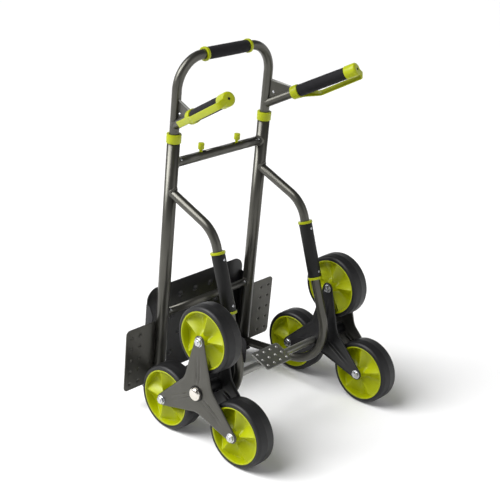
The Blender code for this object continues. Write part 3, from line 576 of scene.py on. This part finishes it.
# ---- Toe plate --------------------------------------------------------------------------------
# The folding plate that goes under the load, here folded up. It is pressed from 2.5 mm steel with
# rows of raised dimples and a flange down each side, painted black, and turns on a zinc-plated rod.
HINGE = Vector((0, 0.030, 0.0165))
HINGE_R = 0.004
HINGE_HALF = 0.168
TOE_HALF = 0.165
TOE_FACE = 0.043
TOE_SHEET = 0.0025
TOE_Z = (0.0285, 0.273)
TOE_CORNER = 0.030
TOE_DIMPLE_ROWS = 4
TOE_DIMPLES = 5                   # in each row
TOE_PITCH = 0.052                 # both ways; every other row is shifted by half of it
TOE_FIRST_DIMPLE = (-0.107, 0.233)
TOE_DIMPLE_R = 0.0080
TOE_DIMPLE_RISE = 0.0038
FLANGE_FRONT = 0.0422             # just behind the plate's face
FLANGE_CORNER = 0.003
FLANGE_EASE = 0.0004


def pressed_flange(outline, low, high):
    """Flat plate across X: an outline in (y, z) given thickness, with round corners and eased edges."""
    bm = bmesh.new()
    bm.faces.new([bm.verts.new((low, y, z)) for y, z in outline])
    bmesh.ops.bevel(bm, geom=bm.verts[:], affect='VERTICES', offset=FLANGE_CORNER,
                    offset_type='OFFSET', segments=5, profile=0.5, material=-1, clamp_overlap=True)
    made = bmesh.ops.extrude_face_region(bm, geom=bm.faces[:])["geom"]
    bmesh.ops.translate(bm, vec=(high - low, 0, 0), verts=points_of(made))
    rims = [e for e in bm.edges if abs(e.verts[0].co.x - e.verts[1].co.x) < 1e-7]
    bmesh.ops.bevel(bm, geom=rims, affect='EDGES', offset=FLANGE_EASE, offset_type='OFFSET',
                    segments=2, profile=0.5, material=-1, clamp_overlap=True)
    return bm


toe_height = TOE_Z[1] - TOE_Z[0]
toe_middle = Vector((0, TOE_FACE - TOE_SHEET, sum(TOE_Z) / 2))
toe_dimples = []
for row in range(TOE_DIMPLE_ROWS):
    first = TOE_FIRST_DIMPLE[0] + TOE_PITCH / 2 * (row % 2)
    height = TOE_FIRST_DIMPLE[1] - TOE_PITCH * row - toe_middle.z
    toe_dimples += [(first + TOE_PITCH * i, height) for i in range(TOE_DIMPLES)]
toe = dimpled_sheet(2 * TOE_HALF, toe_height, 0.0019, [(side, 1, TOE_CORNER) for side in SIDES],
                    toe_dimples, TOE_DIMPLE_R, TOE_DIMPLE_RISE)
bmesh.ops.transform(toe, matrix=Matrix.Translation(toe_middle) @ Matrix.Rotation(pi / 2, 4, 'X'),
                    verts=toe.verts)
fit(toe, "toe_plate_sheet", "toe", black_coat, ["toe_plate"], wall=TOE_SHEET)
flange_outline = [(FLANGE_FRONT, 0.0305), (0.041, 0.012), (0.034, 0.0055), (0.026, 0.0055),
                  (0.0195, 0.012), (0.018, 0.0285), (0.018, 0.2125), (0.030, 0.2335),
                  (FLANGE_FRONT, 0.236)]
for side, name in SIDES.items():
    # the flange's outside stays a hair inside the sheet's edge
    low, high = sorted((side * (TOE_HALF - TOE_SHEET), side * (TOE_HALF - 0.00005)))
    fit(pressed_flange(flange_outline, low, high), "toe_plate_flange_" + name, "toe", black_coat,
        ["toe_plate"])
rod = lathe(turned_bar(-HINGE_HALF, HINGE_HALF, HINGE_R, 0.0008), HINGE, RIGHT, 32)
fit(rod, "toe_hinge_pin", "frame", zinc_plate, ["toe_hinge_rod"])

# ---- Collars and lock knobs -------------------------------------------------------------------
# A lime collar closes the top of each upright and guides the handle tube. Two lime thumb knobs stand
# on the upper crossbar; squeezed together, they draw the steel pins that lock the handle's height.
COLLAR = (0.657, 0.6776, 0.0172)  # bottom, top, radius
COLLAR_FIT = 0.0003               # its gap to the handle tube and to the upright's end
HANDLE_R = 0.0112
KNOB_R = 0.0073
KNOB_NECK_R = 0.0038
KNOB_BASE = 0.0172                # the head's underside, above the crossbar's axis
KNOB_TOP = 0.0318
PIN_R = 0.0045
PIN_TAIL = 0.006                  # from the knob's middle inwards
PIN_TIP_GAP = 0.0008              # to the handle tube

for side, name in SIDES.items():
    bottom, top, radius = COLLAR
    bore = HANDLE_R + COLLAR_FIT
    skirt = UPRIGHT_R + 0.0001
    ledge = UPRIGHT_TOP + COLLAR_FIT - bottom
    outline = [(0, skirt), (0, radius), (top - bottom, radius), (top - bottom, bore), (ledge, bore),
               (ledge, skirt)]
    fit(lathe(eased(outline, 0.0012), Vector((side * UPRIGHT_X, 0, bottom)), TALL),
        "collar_moulding_" + name, "frame", lime_moulding, ["collar_" + name])

    foot = Vector((side * KNOB_X, 0, UPPER_BAR[0]))
    head = [(0, 0), (0, KNOB_NECK_R), (KNOB_BASE, KNOB_NECK_R), (KNOB_BASE, KNOB_R), (KNOB_TOP, KNOB_R),
            (KNOB_TOP, 0)]
    knob = lathe(eased(head, 0.0014, closed=False), foot, TALL, 48)
    tip = Vector((side * (UPRIGHT_X - HANDLE_R - PIN_TIP_GAP), 0, foot.z))
    pin = round_bar([foot - side * PIN_TAIL * RIGHT, tip], PIN_R, 24)
    fit(join(knob, pin), "thumb_knob_" + name, "knob_" + name, lime_moulding,
        ["lock_knob_" + name])

# ---- Handle -----------------------------------------------------------------------------------
# A 22 mm tube bent into an arch, which slides in the uprights. Two straight tubes for the side
# handles are welded on behind it, each stiffened by a small web with a folded upper edge.
ARCH_Z = 0.850
ARCH_BEND = 0.072
HANDLE_BOTTOM = 0.260
STUB_R = 0.0108
STUB_SHORT = 0.006                # how far inside its cap a side handle's tube ends
SIDE_BASE = Vector((UPRIGHT_X, -0.005, 0.700))
SIDE_END = Vector((0.2115, -0.2148, 0.8293))
WEB_SHEET = 0.003
WEB_RISE = 0.060                  # up the arch tube from the side handle
WEB_REACH = 0.071                 # along the side handle
WEB_NOSE = 0.0160                 # its front corner, up from the side handle's axis
WEB_ROOT = 0.010                  # its corner by the weld, along either tube
WEB_FOLD_R = 0.0024
WEB_RIVET = (0.0175, 0.0215)      # along the side handle and up from it

arch = bend([Vector((-UPRIGHT_X, 0, HANDLE_BOTTOM)), Vector((-UPRIGHT_X, 0, ARCH_Z)),
             Vector((UPRIGHT_X, 0, ARCH_Z)), Vector((UPRIGHT_X, 0, HANDLE_BOTTOM))],
            [ARCH_BEND, ARCH_BEND], 28)
fit(round_bar(arch, HANDLE_R), "handle_arch_tube", "handle", grey_coat, ["handle_tube"])
side_axes = {}
for side, name in SIDES.items():
    base = Vector((side * SIDE_BASE.x, SIDE_BASE.y, SIDE_BASE.z))
    end = Vector((side * SIDE_END.x, SIDE_END.y, SIDE_END.z))
    along = (end - base).normalized()
    length = (end - base).length
    side_axes[side] = (base, along, length)
    stub = round_bar([base, base + along * (length - STUB_SHORT)], STUB_R)
    fit(stub, "side_handle_tube_" + name, "handle", grey_coat, ["handle_tube"])

    across = along.cross(TALL).normalized()
    web = bmesh.new()
    nose = base + along * WEB_REACH + TALL * WEB_NOSE
    head = base + TALL * WEB_RISE
    corners = [base + along * WEB_ROOT, base + along * WEB_REACH, nose, head, base + TALL * WEB_ROOT]
    face = web.faces.new([web.verts.new(p - across * WEB_SHEET / 2) for p in corners])
    made = bmesh.ops.extrude_face_region(web, geom=[face])["geom"]
    bmesh.ops.translate(web, vec=across * WEB_SHEET, verts=points_of(made))
    fit(web, "side_handle_web_" + name, "handle", grey_coat, ["handle_tube"])
    # the folded edge is painted lighter, a painted highlight for the bright line along the web's top
    fold = round_bar([nose, head], WEB_FOLD_R, 16)
    fit(fold, "side_handle_web_edge_" + name, "handle", lighter_coat_painted_highlight)
    # a bright zinc rivet through the web near the tubes: bright points that stand in for the glint on the
    # web's weld, a painted highlight
    rivet = bmesh.new()
    for way in (-across, across):
        seat = base + along * WEB_RIVET[0] + TALL * WEB_RIVET[1] + way * WEB_SHEET / 2
        join(rivet, lathe(screw_profile, seat, way, 24))
    fit(rivet, "web_glint_rivet_" + name, "handle", zinc_plate)
    lean = atan2(along.z, sqrt(along.x ** 2 + along.y ** 2))
    outward = Vector((along.x, along.y, 0)).normalized()
    # the bead leans a little less than the tube
    bead = weld_bead(Vector((base.x, 0, base.z)), outward, HANDLE_R, STUB_R, lean * 0.9)
    fit(bead, "side_handle_weld_" + name, "handle", grey_coat)

# ---- Grips ------------------------------------------------------------------------------------
# Sleeves of closed-cell foam rubber, 29 mm across, pushed over the arch and the side handles. The
# one on the arch sits between two lime rings.
GRIP_R = 0.0145
GRIP_END_R = 0.0142
ARCH_GRIP_HALF = 0.066
RING_R = 0.0165
RING_WIDTH = 0.007
SIDE_RING = (0.075, 0.094)        # along a side handle, as is the next
SIDE_GRIP_END = 0.224

# Closed-cell foam rubber: dead matt black with a skin of tiny cells that catches a little dust.
foam, shader, laid = start_finish("closed_cell_foam_rubber", {"Metallic": 0.0, "Specular IOR Level": 0.25,
                                                            "Sheen Weight": 0.03, "Sheen Roughness": 0.5})
cells = add(foam, "ShaderNodeTexVoronoi", {"Scale": per_mm(1.1)}, {"Vector": (laid, 0)})
dust = add(foam, "ShaderNodeTexNoise", {"Scale": per_mm(14), "Detail": 5.0}, {"Vector": (laid, 0)})
dress(foam, shader, ("0b0a0d", "151418"), dust, (0.72, 0.9), cells, (0.6, 0.0003), cells)


def foam_grip(start, direction, length, bore):
    """A foam sleeve: rounded at its ends and a little fuller between them."""
    profile = [(0, bore), (0, GRIP_END_R), (length * 0.25, GRIP_R), (length * 0.75, GRIP_R),
               (length, GRIP_END_R), (length, bore)]
    return lathe(eased(profile, 0.0022), start, direction)


top = ARCH_Z * TALL
foam_tube = foam_grip(top - RIGHT * ARCH_GRIP_HALF, RIGHT, 2 * ARCH_GRIP_HALF, HANDLE_R)
grip = fit(foam_tube, "arch_foam_grip", "handle", foam, ["arch_grip"])
for side, name in SIDES.items():
    ring = lathe(hoop(0, RING_WIDTH, HANDLE_R, RING_R, 0.0014),
                 top + RIGHT * side * (ARCH_GRIP_HALF + CLEARANCE), RIGHT * side)
    fit(ring, "arch_grip_ring_" + name, "handle", lime_moulding, ["arch_ring_" + name])
    base, along, length = side_axes[side]
    start = SIDE_RING[1] + CLEARANCE
    foam_tube = foam_grip(base + along * start, along, SIDE_GRIP_END - CLEARANCE - start, STUB_R)
    grip = fit(foam_tube, "side_foam_grip_" + name, "handle", foam, ["side_grip_" + name])

# ---- Hand guards ------------------------------------------------------------------------------
# One lime moulding on each side handle: a ring in front of the hand, a flat strip past the fingers
# and a round cap over the tube's end, held by a screw in a small hole.
GUARD_TURN = {-1: radians(18), 1: radians(38)}     # below straight outward, about the side handle
STRIP_START = {-1: 0.036, 1: 0.074}
STRIP_ROUTE = [(0.096, 0.0172), (0.132, 0.034), (0.205, 0.031), (0.252, 0.0285)]   # along and out
STRIP_BENDS = [0.03, 0.03, 0.06, 0.008]
STRIP_WIDTH = 0.015
STRIP_THICK = 0.0035
STRIP_EASE = 0.0012
CAP_R = 0.0160
CAP_HOLE_R = 0.0028
CAP_HOLE_DEPTH = 0.0022


def strip_section(place):
    """The end of the flat strip with rounded corners: its width runs along the place's own Y."""
    bm = bmesh.new()
    bmesh.ops.create_circle(bm, cap_ends=True, segments=4, radius=sqrt(0.5),
                            matrix=Matrix.Rotation(pi / 4, 4, 'Z'))
    bmesh.ops.scale(bm, vec=(STRIP_THICK, STRIP_WIDTH, 1), verts=bm.verts)
    bmesh.ops.bevel(bm, geom=bm.verts[:], affect='VERTICES', offset=STRIP_EASE, offset_type='OFFSET',
                    segments=3, profile=0.5, material=-1, clamp_overlap=True)
    bmesh.ops.transform(bm, matrix=place, verts=bm.verts)
    return bm


for side, name in SIDES.items():
    base, along, length = side_axes[side]
    hole_end = length - CAP_HOLE_DEPTH
    cap = [(SIDE_GRIP_END, STUB_R), (SIDE_GRIP_END, CAP_R), (length - 0.004, CAP_R),
           (length - 0.0014, CAP_R - 0.0014), (length, CAP_R - 0.0048), (length, CAP_HOLE_R),
           (hole_end, CAP_HOLE_R * 0.9), (hole_end, 0)]
    guard = join(lathe(hoop(*SIDE_RING, STUB_R, RING_R, 0.0022), base, along),
                 lathe(eased(cap, 0.001, closed=False), base, along))

    outward = (Vector((side, 0, 0)) - along * along.x * side).normalized()
    down = along.cross(outward)
    if down.z > 0:
        down.negate()
    turn = GUARD_TURN[side]
    out = outward * cos(turn) + down * sin(turn)
    across = along.cross(out).normalized()
    route = [(STRIP_START[side], 0.0150), *STRIP_ROUTE, (length - 0.0022, 0.010)]
    route = bend([Vector((s, o, 0)) for s, o in route], STRIP_BENDS, 8)
    route = [base + along * p.x + out * p.y for p in route]
    heading = (route[1] - route[0]).normalized()
    place = Matrix((across.cross(heading), across, heading)).transposed().to_4x4()
    place.translation = route[0]
    face, recess = length + CLEARANCE, length - 0.001
    screw = [(hole_end, 0), (hole_end, CAP_HOLE_R), (face, CAP_HOLE_R), (face, CAP_HOLE_R * 0.5),
             (recess, CAP_HOLE_R * 0.4), (recess, 0)]
    fit(lathe(eased(screw, 0.0002, closed=False), base, along, 24), "guard_screw_" + name, "handle",
        black_moulding)
    strip = draw_along(strip_section(place), route)
    fit(join(guard, strip), "hand_guard_moulding_" + name, "handle", lime_moulding,
        ["hand_guard_" + name])

# ---- Cluster carriers -------------------------------------------------------------------------
# Each wheel cluster has two three-armed carriers of 3 mm steel, one on each side of the wheels. Both
# are pressed into a shallow dish with fluted arms; the outer one is coated grey, the inner one black.
CLUSTER_R = 0.1288
PLATE_X = {"inner": 0.187, "outer": 0.254}
PLATE_T = 0.003
ARM_TIP_R = 0.014
ARM_VALLEY = 0.050
VALLEY_HALF = 0.16                # radians, as seen from the hub
VALLEY_SAG = 0.0012               # from its middle to its ends
ARMS = 3
# the way of the first arm, which stands upright in the world
UPWARD = pi / 2 - UP.angle(Vector((0, 0, 1)))
DISH = 0.0018
DISH_BORDER = 0.006
FLUTE = 0.0011
FLUTE_RUN = (0.016, 0.100)        # along the arm
FLUTE_FADE = (0.02, 0.03)         # in and out
FLUTE_SPACING = 0.011
FLUTE_SPREAD = 0.010
CARRIER_RINGS = 22
HUB_TUBE_R = 0.016
HUB_TUBE_BORE = 0.0093


def smooth_step(value):
    """0 below 0, 1 above 1 and a smooth rise between them."""
    value = min(max(value, 0.0), 1.0)
    return value * value * (3 - 2 * value)


def star_outline():
    """Points round a carrier, three arms with round tips and wide valleys, from the hub's middle."""
    one_arm = []
    middle = Vector((CLUSTER_R, 0))
    for i in range(-8, 9):
        one_arm.append(middle + Vector((ARM_TIP_R, 0)) @ Matrix.Rotation(-i * pi / 16, 2))
    first_valley = Vector((ARM_VALLEY + VALLEY_SAG, 0)) @ Matrix.Rotation(VALLEY_HALF - pi / 3, 2)
    tip_side = one_arm[-1]
    one_arm += [tip_side.lerp(first_valley, i / 6) for i in range(1, 6)]
    for i in range(-4, 5):
        reach = ARM_VALLEY + VALLEY_SAG * (i / 4) ** 2
        one_arm.append(Vector((reach, 0)) @ Matrix.Rotation(-(pi / 3 + VALLEY_HALF * i / 4), 2))
    next_side = (middle + Vector((0, -ARM_TIP_R))) @ Matrix.Rotation(-2 * pi / 3, 2)
    one_arm += [one_arm[-1].lerp(next_side, i / 6) for i in range(1, 6)]
    turns = [Matrix.Rotation(-(UPWARD + 2 * pi * k / ARMS), 2) for k in range(ARMS)]
    return [p @ turn for turn in turns for p in one_arm]


def next_ring(bm, ring, order):
    """Pulls a closed ring out once more; its points come back in the order of the ring before."""
    ring, fresh = pull_out(bm, ring)
    fresh = set(fresh)
    order = [next(e.other_vert(v) for e in v.link_edges if e.other_vert(v) in fresh) for v in order]
    return ring, order


def carrier(side, x):
    """The plate grown out from its hub hole in rings, dished at its border and fluted along its
    arms."""
    outline = star_outline()
    ways = [UPWARD + 2 * pi * k / ARMS for k in range(ARMS)]
    arms = [Vector((cos(way), sin(way))) for way in ways]
    bm = bmesh.new()
    bmesh.ops.create_circle(bm, segments=len(outline), radius=AXLE_R)
    ring = list(bm.edges)
    order = list(bm.verts)
    for j in range(CARRIER_RINGS + 1):
        if j:
            ring, order = next_ring(bm, ring, order)
        for vertex, rim in zip(order, outline):
            start = rim.normalized() * (AXLE_R + CLEARANCE)
            flat = start.lerp(rim, j / CARRIER_RINGS)
            rise = DISH * smooth_step((rim - flat).length / DISH_BORDER) - DISH
            for arm in arms:
                along, off = flat.dot(arm), flat.cross(arm)
                fade_in = smooth_step((along - FLUTE_RUN[0]) / FLUTE_FADE[0])
                fade_out = smooth_step((FLUTE_RUN[1] - along) / FLUTE_FADE[1])
                wave = (1 - cos(2 * pi * off / FLUTE_SPACING)) * exp(-(off / FLUTE_SPREAD) ** 2)
                rise -= FLUTE * fade_in * fade_out * wave
            vertex.co = Vector((side * (x + rise), flat.x, flat.y)) + HUB
    return bm


for side, name in SIDES.items():
    body = "cluster_" + name
    for label, finish, slot, sharp in (("inner", black_coat, "black_steel", 35),
                                       ("outer", plate_coat, "painted_plate", 50)):
        plate = carrier(side, PLATE_X[label] + PLATE_T / 2)
        piece = fit(plate, "carrier_plate_" + label + "_" + name, body, finish,
                    ["carrier_" + label + "_" + name], wall=PLATE_T, sharp=sharp)
        piece.modifiers["wall"].offset = 0
    start = HUB + RIGHT * side * (PLATE_X["inner"] + PLATE_T + CLEARANCE)
    run = PLATE_X["outer"] - PLATE_X["inner"] - PLATE_T - 2 * CLEARANCE
    tube = lathe(hoop(0, run, HUB_TUBE_BORE, HUB_TUBE_R, 0.0006), start, RIGHT * side)
    fit(tube, "hub_bearing_tube_" + name, body, black_coat, ["hub_tube_" + name])

# ---- Hub caps ---------------------------------------------------------------------------------
# A domed push-on cap of chromed steel covers each end of the axle, over a black washer.
WASHER_X = 0.2573
WASHER_T = 0.0020
WASHER_R = 0.0186
WASHER_BORE = 0.0092
HUB_CAP_R = 0.0160
HUB_CAP_SKIRT = 0.0012            # its rim above the washer's inner face

# Chrome plate: a mirror with the faint waviness of a pressed dome.
chrome, shader, laid = start_finish("bright_chrome_plate", {"Metallic": 1.0})
wave = add(chrome, "ShaderNodeTexNoise", {"Scale": per_mm(9), "Detail": 1.0}, {"Vector": (laid, 0)})
dress(chrome, shader, ("cfc9bf", "e6e2da"), wave, (0.05, 0.14), wave, (0.1, 0.0004), wave)

for side, name in SIDES.items():
    outward = RIGHT * side
    rim = WASHER_X + HUB_CAP_SKIRT
    dome = [(rim, 0.0080), (rim, HUB_CAP_R), (0.2612, HUB_CAP_R), (0.2646, 0.0153), (0.2670, 0.0134),
            (0.2688, 0.0098), (0.2697, 0.0050), (0.2700, 0)]
    fit(lathe(dome, HUB, outward), "hub_cap_dome_" + name, "frame", chrome,
        ["hub_cap_" + name])
    washer = lathe(hoop(WASHER_X, WASHER_X + WASHER_T, WASHER_BORE, WASHER_R, 0.0004), HUB, outward)
    fit(washer, "hub_washer_" + name, "frame", black_moulding)

# ---- Wheels -----------------------------------------------------------------------------------
# Six solid rubber tyres on lime rims. The rim is one moulding: a barrel under the tyre, a disc with
# five sharp pleats, and a boss that turns on the bolt. The tyre is moulded black rubber.
WHEEL_X = 0.222
RIM_SEAT = 0.0677
RIM_HALF = 0.0233
BOSS_R = 0.0120
BOSS_HALF = 0.0296
TYRE_R = 0.0788
TYRE_BORE = 0.0680
TYRE_HALF = 0.0245
PLEATS = 5
PLEAT_RISE = 0.0088
PLEAT_PHASE = (radians(66), radians(4), radians(95))    # one pleat's way in each wheel, from up
RIM_COLUMNS = 100                 # points round the rim
BOLT_FIT = 0.0003                 # from a carrier's face to the hardware on it
STUD_R = 0.0040
STUD_ENDS = (-0.002, 0.0076)      # past the hardware's seats, inside and outside
BOLT_WASHER_R = 0.0112
BOLT_WASHER_T = 0.0011
NUT_R = 0.0098
NUT_RUN = (0.0010, 0.0056)
HEAD_R = 0.0090
HEAD_T = 0.0052

# Solid black rubber: a bluish charcoal with a dull, slightly greasy sheen and mould grain.
rubber, shader, laid = start_finish("moulded_solid_rubber", {"Metallic": 0.0, "Specular IOR Level": 0.4})
bloom = add(rubber, "ShaderNodeTexNoise", {"Scale": per_mm(22), "Detail": 4.0}, {"Vector": (laid, 0)})
grain = add(rubber, "ShaderNodeTexNoise", {"Scale": per_mm(1.2), "Detail": 3.0}, {"Vector": (laid, 0)})
dress(rubber, shader, ("08080a", "121213"), bloom, (0.42, 0.56), bloom, (0.25, 0.0002), grain)


def pleated_rim(phase):
    """The rim round X, grown ring by ring from the boss over the disc and the barrel to the other
    side. Each ring has a radius, an X and the share of the pleats that shows in it."""
    disc = [(BOSS_R + 0.0010, 0.0205, 0.15), (0.0150, 0.0192, 0.5), (0.0180, 0.0180, 0.85),
            (0.0230, 0.0168, 1.0), (0.0340, 0.0150, 1.0), (0.0460, 0.0136, 1.0), (0.0560, 0.0128, 1.0),
            (0.0620, 0.0126, 0.95)]
    half = [(0.0050, BOSS_HALF, 0), (BOSS_R - 0.0010, BOSS_HALF, 0), (BOSS_R, BOSS_HALF - 0.001, 0), *disc,
            (0.0636, 0.0200, 0), (0.0644, RIM_HALF + 0.0006, 0), (0.0650, RIM_HALF + 0.0014, 0),
            (0.0672, RIM_HALF + 0.0014, 0), (RIM_SEAT, RIM_HALF + 0.0006, 0)]
    rings = half + [(r, -x, -w) for r, x, w in reversed(half)]
    bm = bmesh.new()
    bmesh.ops.create_circle(bm, segments=RIM_COLUMNS, radius=rings[0][0])
    ring = first = list(bm.edges)
    order = list(bm.verts)
    for j, (radius, x, weight) in enumerate(rings):
        if j:
            ring, order = next_ring(bm, ring, order)
        for k, vertex in enumerate(order):
            about = 2 * pi * k / RIM_COLUMNS
            pleat = PLEAT_RISE * weight * (1 - 2 * abs(sin(PLEATS * about / 2)))
            vertex.co = Vector((x + pleat, radius * sin(phase + about), radius * cos(phase + about)))
    bmesh.ops.bridge_loops(bm, edges=first + ring)
    return bm


def hexagon(radius, low, high, outward):
    """A hexagon nut or head round X with its corners chamfered."""
    bm = bmesh.new()
    bmesh.ops.create_circle(bm, cap_ends=True, segments=6, radius=radius)
    made = bmesh.ops.extrude_face_region(bm, geom=bm.faces[:])["geom"]
    bmesh.ops.translate(bm, vec=(0, 0, high - low), verts=points_of(made))
    crown = [e for e in bm.edges if e.verts[0].co.z > 0 and e.verts[1].co.z > 0]
    bmesh.ops.bevel(bm, geom=crown, affect='EDGES', offset=0.0011, offset_type='OFFSET', segments=2,
                    profile=0.5, material=-1)
    turn = TALL.rotation_difference(outward).to_matrix().to_4x4()
    bmesh.ops.transform(bm, matrix=Matrix.Translation(outward * low) @ turn, verts=bm.verts)
    return bm


# half of the tyre's section: its side with a groove by the rim, its shoulder, and the mould's line
# round the middle of the tread
bead_wall = [(0, 0), (0.0006, 0.0022), (0, 0.0034)]
shoulder = [(0, 0.0062), (0.0012, 0.0036), (0.0036, 0.0014), (0.0070, 0.0004)]
tread = [(x - TYRE_HALF, TYRE_BORE + up) for x, up in bead_wall]
tread += [(x - TYRE_HALF, TYRE_R - down) for x, down in shoulder]
tread += [(-0.0006, TYRE_R - 0.0001), (-0.0003, TYRE_R)]
tread += [(-x, r) for x, r in reversed(tread)]
tread.append(tread[0])
for side, name in SIDES.items():
    outward = RIGHT * side
    for k in range(ARMS):
        arm = UPWARD + 2 * pi * k / ARMS
        centre = HUB + Vector((0, CLUSTER_R * cos(arm), CLUSTER_R * sin(arm)))
        label = name + "_" + str(k + 1)
        body = "wheel_" + label
        rim = pleated_rim(PLEAT_PHASE[k])
        bmesh.ops.translate(rim, vec=centre + outward * WHEEL_X, verts=rim.verts)
        fit(rim, "wheel_rim_moulding_" + label, body, lime_moulding, ["wheel_rim_" + label],
            edge=0.0005, sharp=28)
        tyre = lathe(tread, centre + outward * WHEEL_X, RIGHT, 120)
        fit(tyre, "tyre_rubber_" + label, body, rubber, ["tyre_" + label])

        # a hexagon bolt from inside, with a washer under its head and a nylon-insert nut outside
        outer = PLATE_X["outer"] + PLATE_T + BOLT_FIT
        inner = PLATE_X["inner"] - BOLT_FIT
        bolt = hexagon(NUT_R, outer + NUT_RUN[0], outer + NUT_RUN[1], outward)
        insert = eased([(outer + 0.0050, STUD_R), (outer + 0.0050, 0.0080), (outer + 0.0064, 0.0070),
                        (outer + 0.0064, STUD_R)], 0.0005)
        turned = [insert, turned_bar(inner + STUD_ENDS[0], outer + STUD_ENDS[1], STUD_R, 0.0009)]
        turned += [hoop(low, low + BOLT_WASHER_T, STUD_R, BOLT_WASHER_R, 0.0003)
                   for low in (outer - 0.0001, inner - 0.0012)]
        join(bolt, *[lathe(profile, Vector((0, 0, 0)), outward, 36) for profile in turned])
        head = hexagon(HEAD_R, 0, HEAD_T, -outward)
        bmesh.ops.translate(head, vec=outward * (inner - BOLT_WASHER_T), verts=head.verts)
        join(bolt, head)
        bmesh.ops.translate(bolt, vec=centre, verts=bolt.verts)
        fit(bolt, "wheel_bolt_set_" + label, "cluster_" + name, zinc_plate,
            ["wheel_bolt_" + label])

# ---- Studio -----------------------------------------------------------------------------------
# A plain pale floor that runs out past the view, a broad soft light from high on the left with a
# strip beside it, a weaker light on the right, and a white room that is dimmer overhead.
FLOOR_HALF = 40
floor_mesh = bpy.data.meshes.new("floor")
floor_shape = bmesh.new()
bmesh.ops.create_grid(floor_shape, x_segments=1, y_segments=1, size=FLOOR_HALF)
floor_shape.to_mesh(floor_mesh)
floor_shape.free()
floor = bpy.data.objects.new("floor", floor_mesh)
bpy.context.scene.collection.objects.link(floor)
floor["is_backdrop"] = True
# Matt white paper: no gloss, and fibres that show as the faintest clouds.
floor_finish, shader, laid = start_finish("matt_white_paper", {"Specular IOR Level": 0.1})
fibre = add(floor_finish, "ShaderNodeTexNoise", {"Scale": per_mm(400), "Detail": 2.0},
            {"Vector": (laid, 0)})
colour = add(floor_finish, "ShaderNodeMix",
             {"data_type": "RGBA", 6: srgb("f6f6f6"), 7: srgb("fafafa")}, {0: (fibre, 0)})
feed(floor_finish, shader, "Base Color", colour, 2)
shader.inputs["Roughness"].default_value = 0.9
floor_mesh.materials.append(floor_finish)

room = bpy.data.worlds.new("white_room")
room.use_nodes = True
wall = room.node_tree.nodes["Background"]
wall.inputs["Color"].default_value = (1, 1, 1, 1)
way = add(room, "ShaderNodeTexCoord")
split = add(room, "ShaderNodeSeparateXYZ", {}, {"Vector": (way, "Generated")})
# bright up to a little above the horizon, then dimmer: two heights and the strength at each
dim = add(room, "ShaderNodeMapRange",
          {"interpolation_type": "SMOOTHSTEP", 1: 0.18, 2: 0.36, 3: 0.95, 4: 0.17}, {0: (split, "Z")})
feed(room, wall, "Strength", dim, 0)
bpy.context.scene.world = room
bpy.context.scene.view_settings.view_transform = 'Standard'

TARGET = Vector((-0.0318, 0.0232, 0.4100))
CAMERA_AT = Vector((-1.9756, -1.7070, 1.5052))
CAMERA_ROLL = radians(3.68)
CAMERA_LENS = 87.7
look = (TARGET - CAMERA_AT).normalized()
level = look.cross(Vector((0, 0, 1))).normalized()
sky = bpy.data.lights.new("soft_key", 'SUN')
sky.energy = 3.5
sky.angle = radians(46)
stand = bpy.data.objects.new("soft_key", sky)
key_from = -level * 1.1 - look * 0.35 + Vector((0, 0, 1.25))
stand.rotation_euler = (-key_from).to_track_quat('-Z', 'Y').to_euler()
bpy.context.scene.collection.objects.link(stand)
for label, place, size, power in (("strip", -level * 2.2 - look * 0.4 + Vector((0, 0, 1.3)), 1.2, 30),
                                  ("fill", level * 2.2 - look * 1.2 + Vector((0, 0, 0.9)), 2.0, 10)):
    lamp = bpy.data.lights.new(label, 'AREA')
    lamp.size = size
    lamp.energy = power
    stand = bpy.data.objects.new(label, lamp)
    stand.location = TARGET + place
    stand.rotation_euler = (-place).to_track_quat('-Z', 'Y').to_euler()
    bpy.context.scene.collection.objects.link(stand)

camera = bpy.data.objects.new("camera", bpy.data.cameras.new("camera"))
camera.data.lens = CAMERA_LENS
camera.data.sensor_width = 36
camera.location = CAMERA_AT
aim = look.to_track_quat('-Z', 'Y').to_matrix().to_4x4() @ Matrix.Rotation(CAMERA_ROLL, 4, 'Z')
camera.rotation_euler = aim.to_euler()
bpy.context.scene.collection.objects.link(camera)
bpy.context.scene.camera = camera

# ---- Size of the finished truck -----------------------------------------------------------------
low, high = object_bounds()
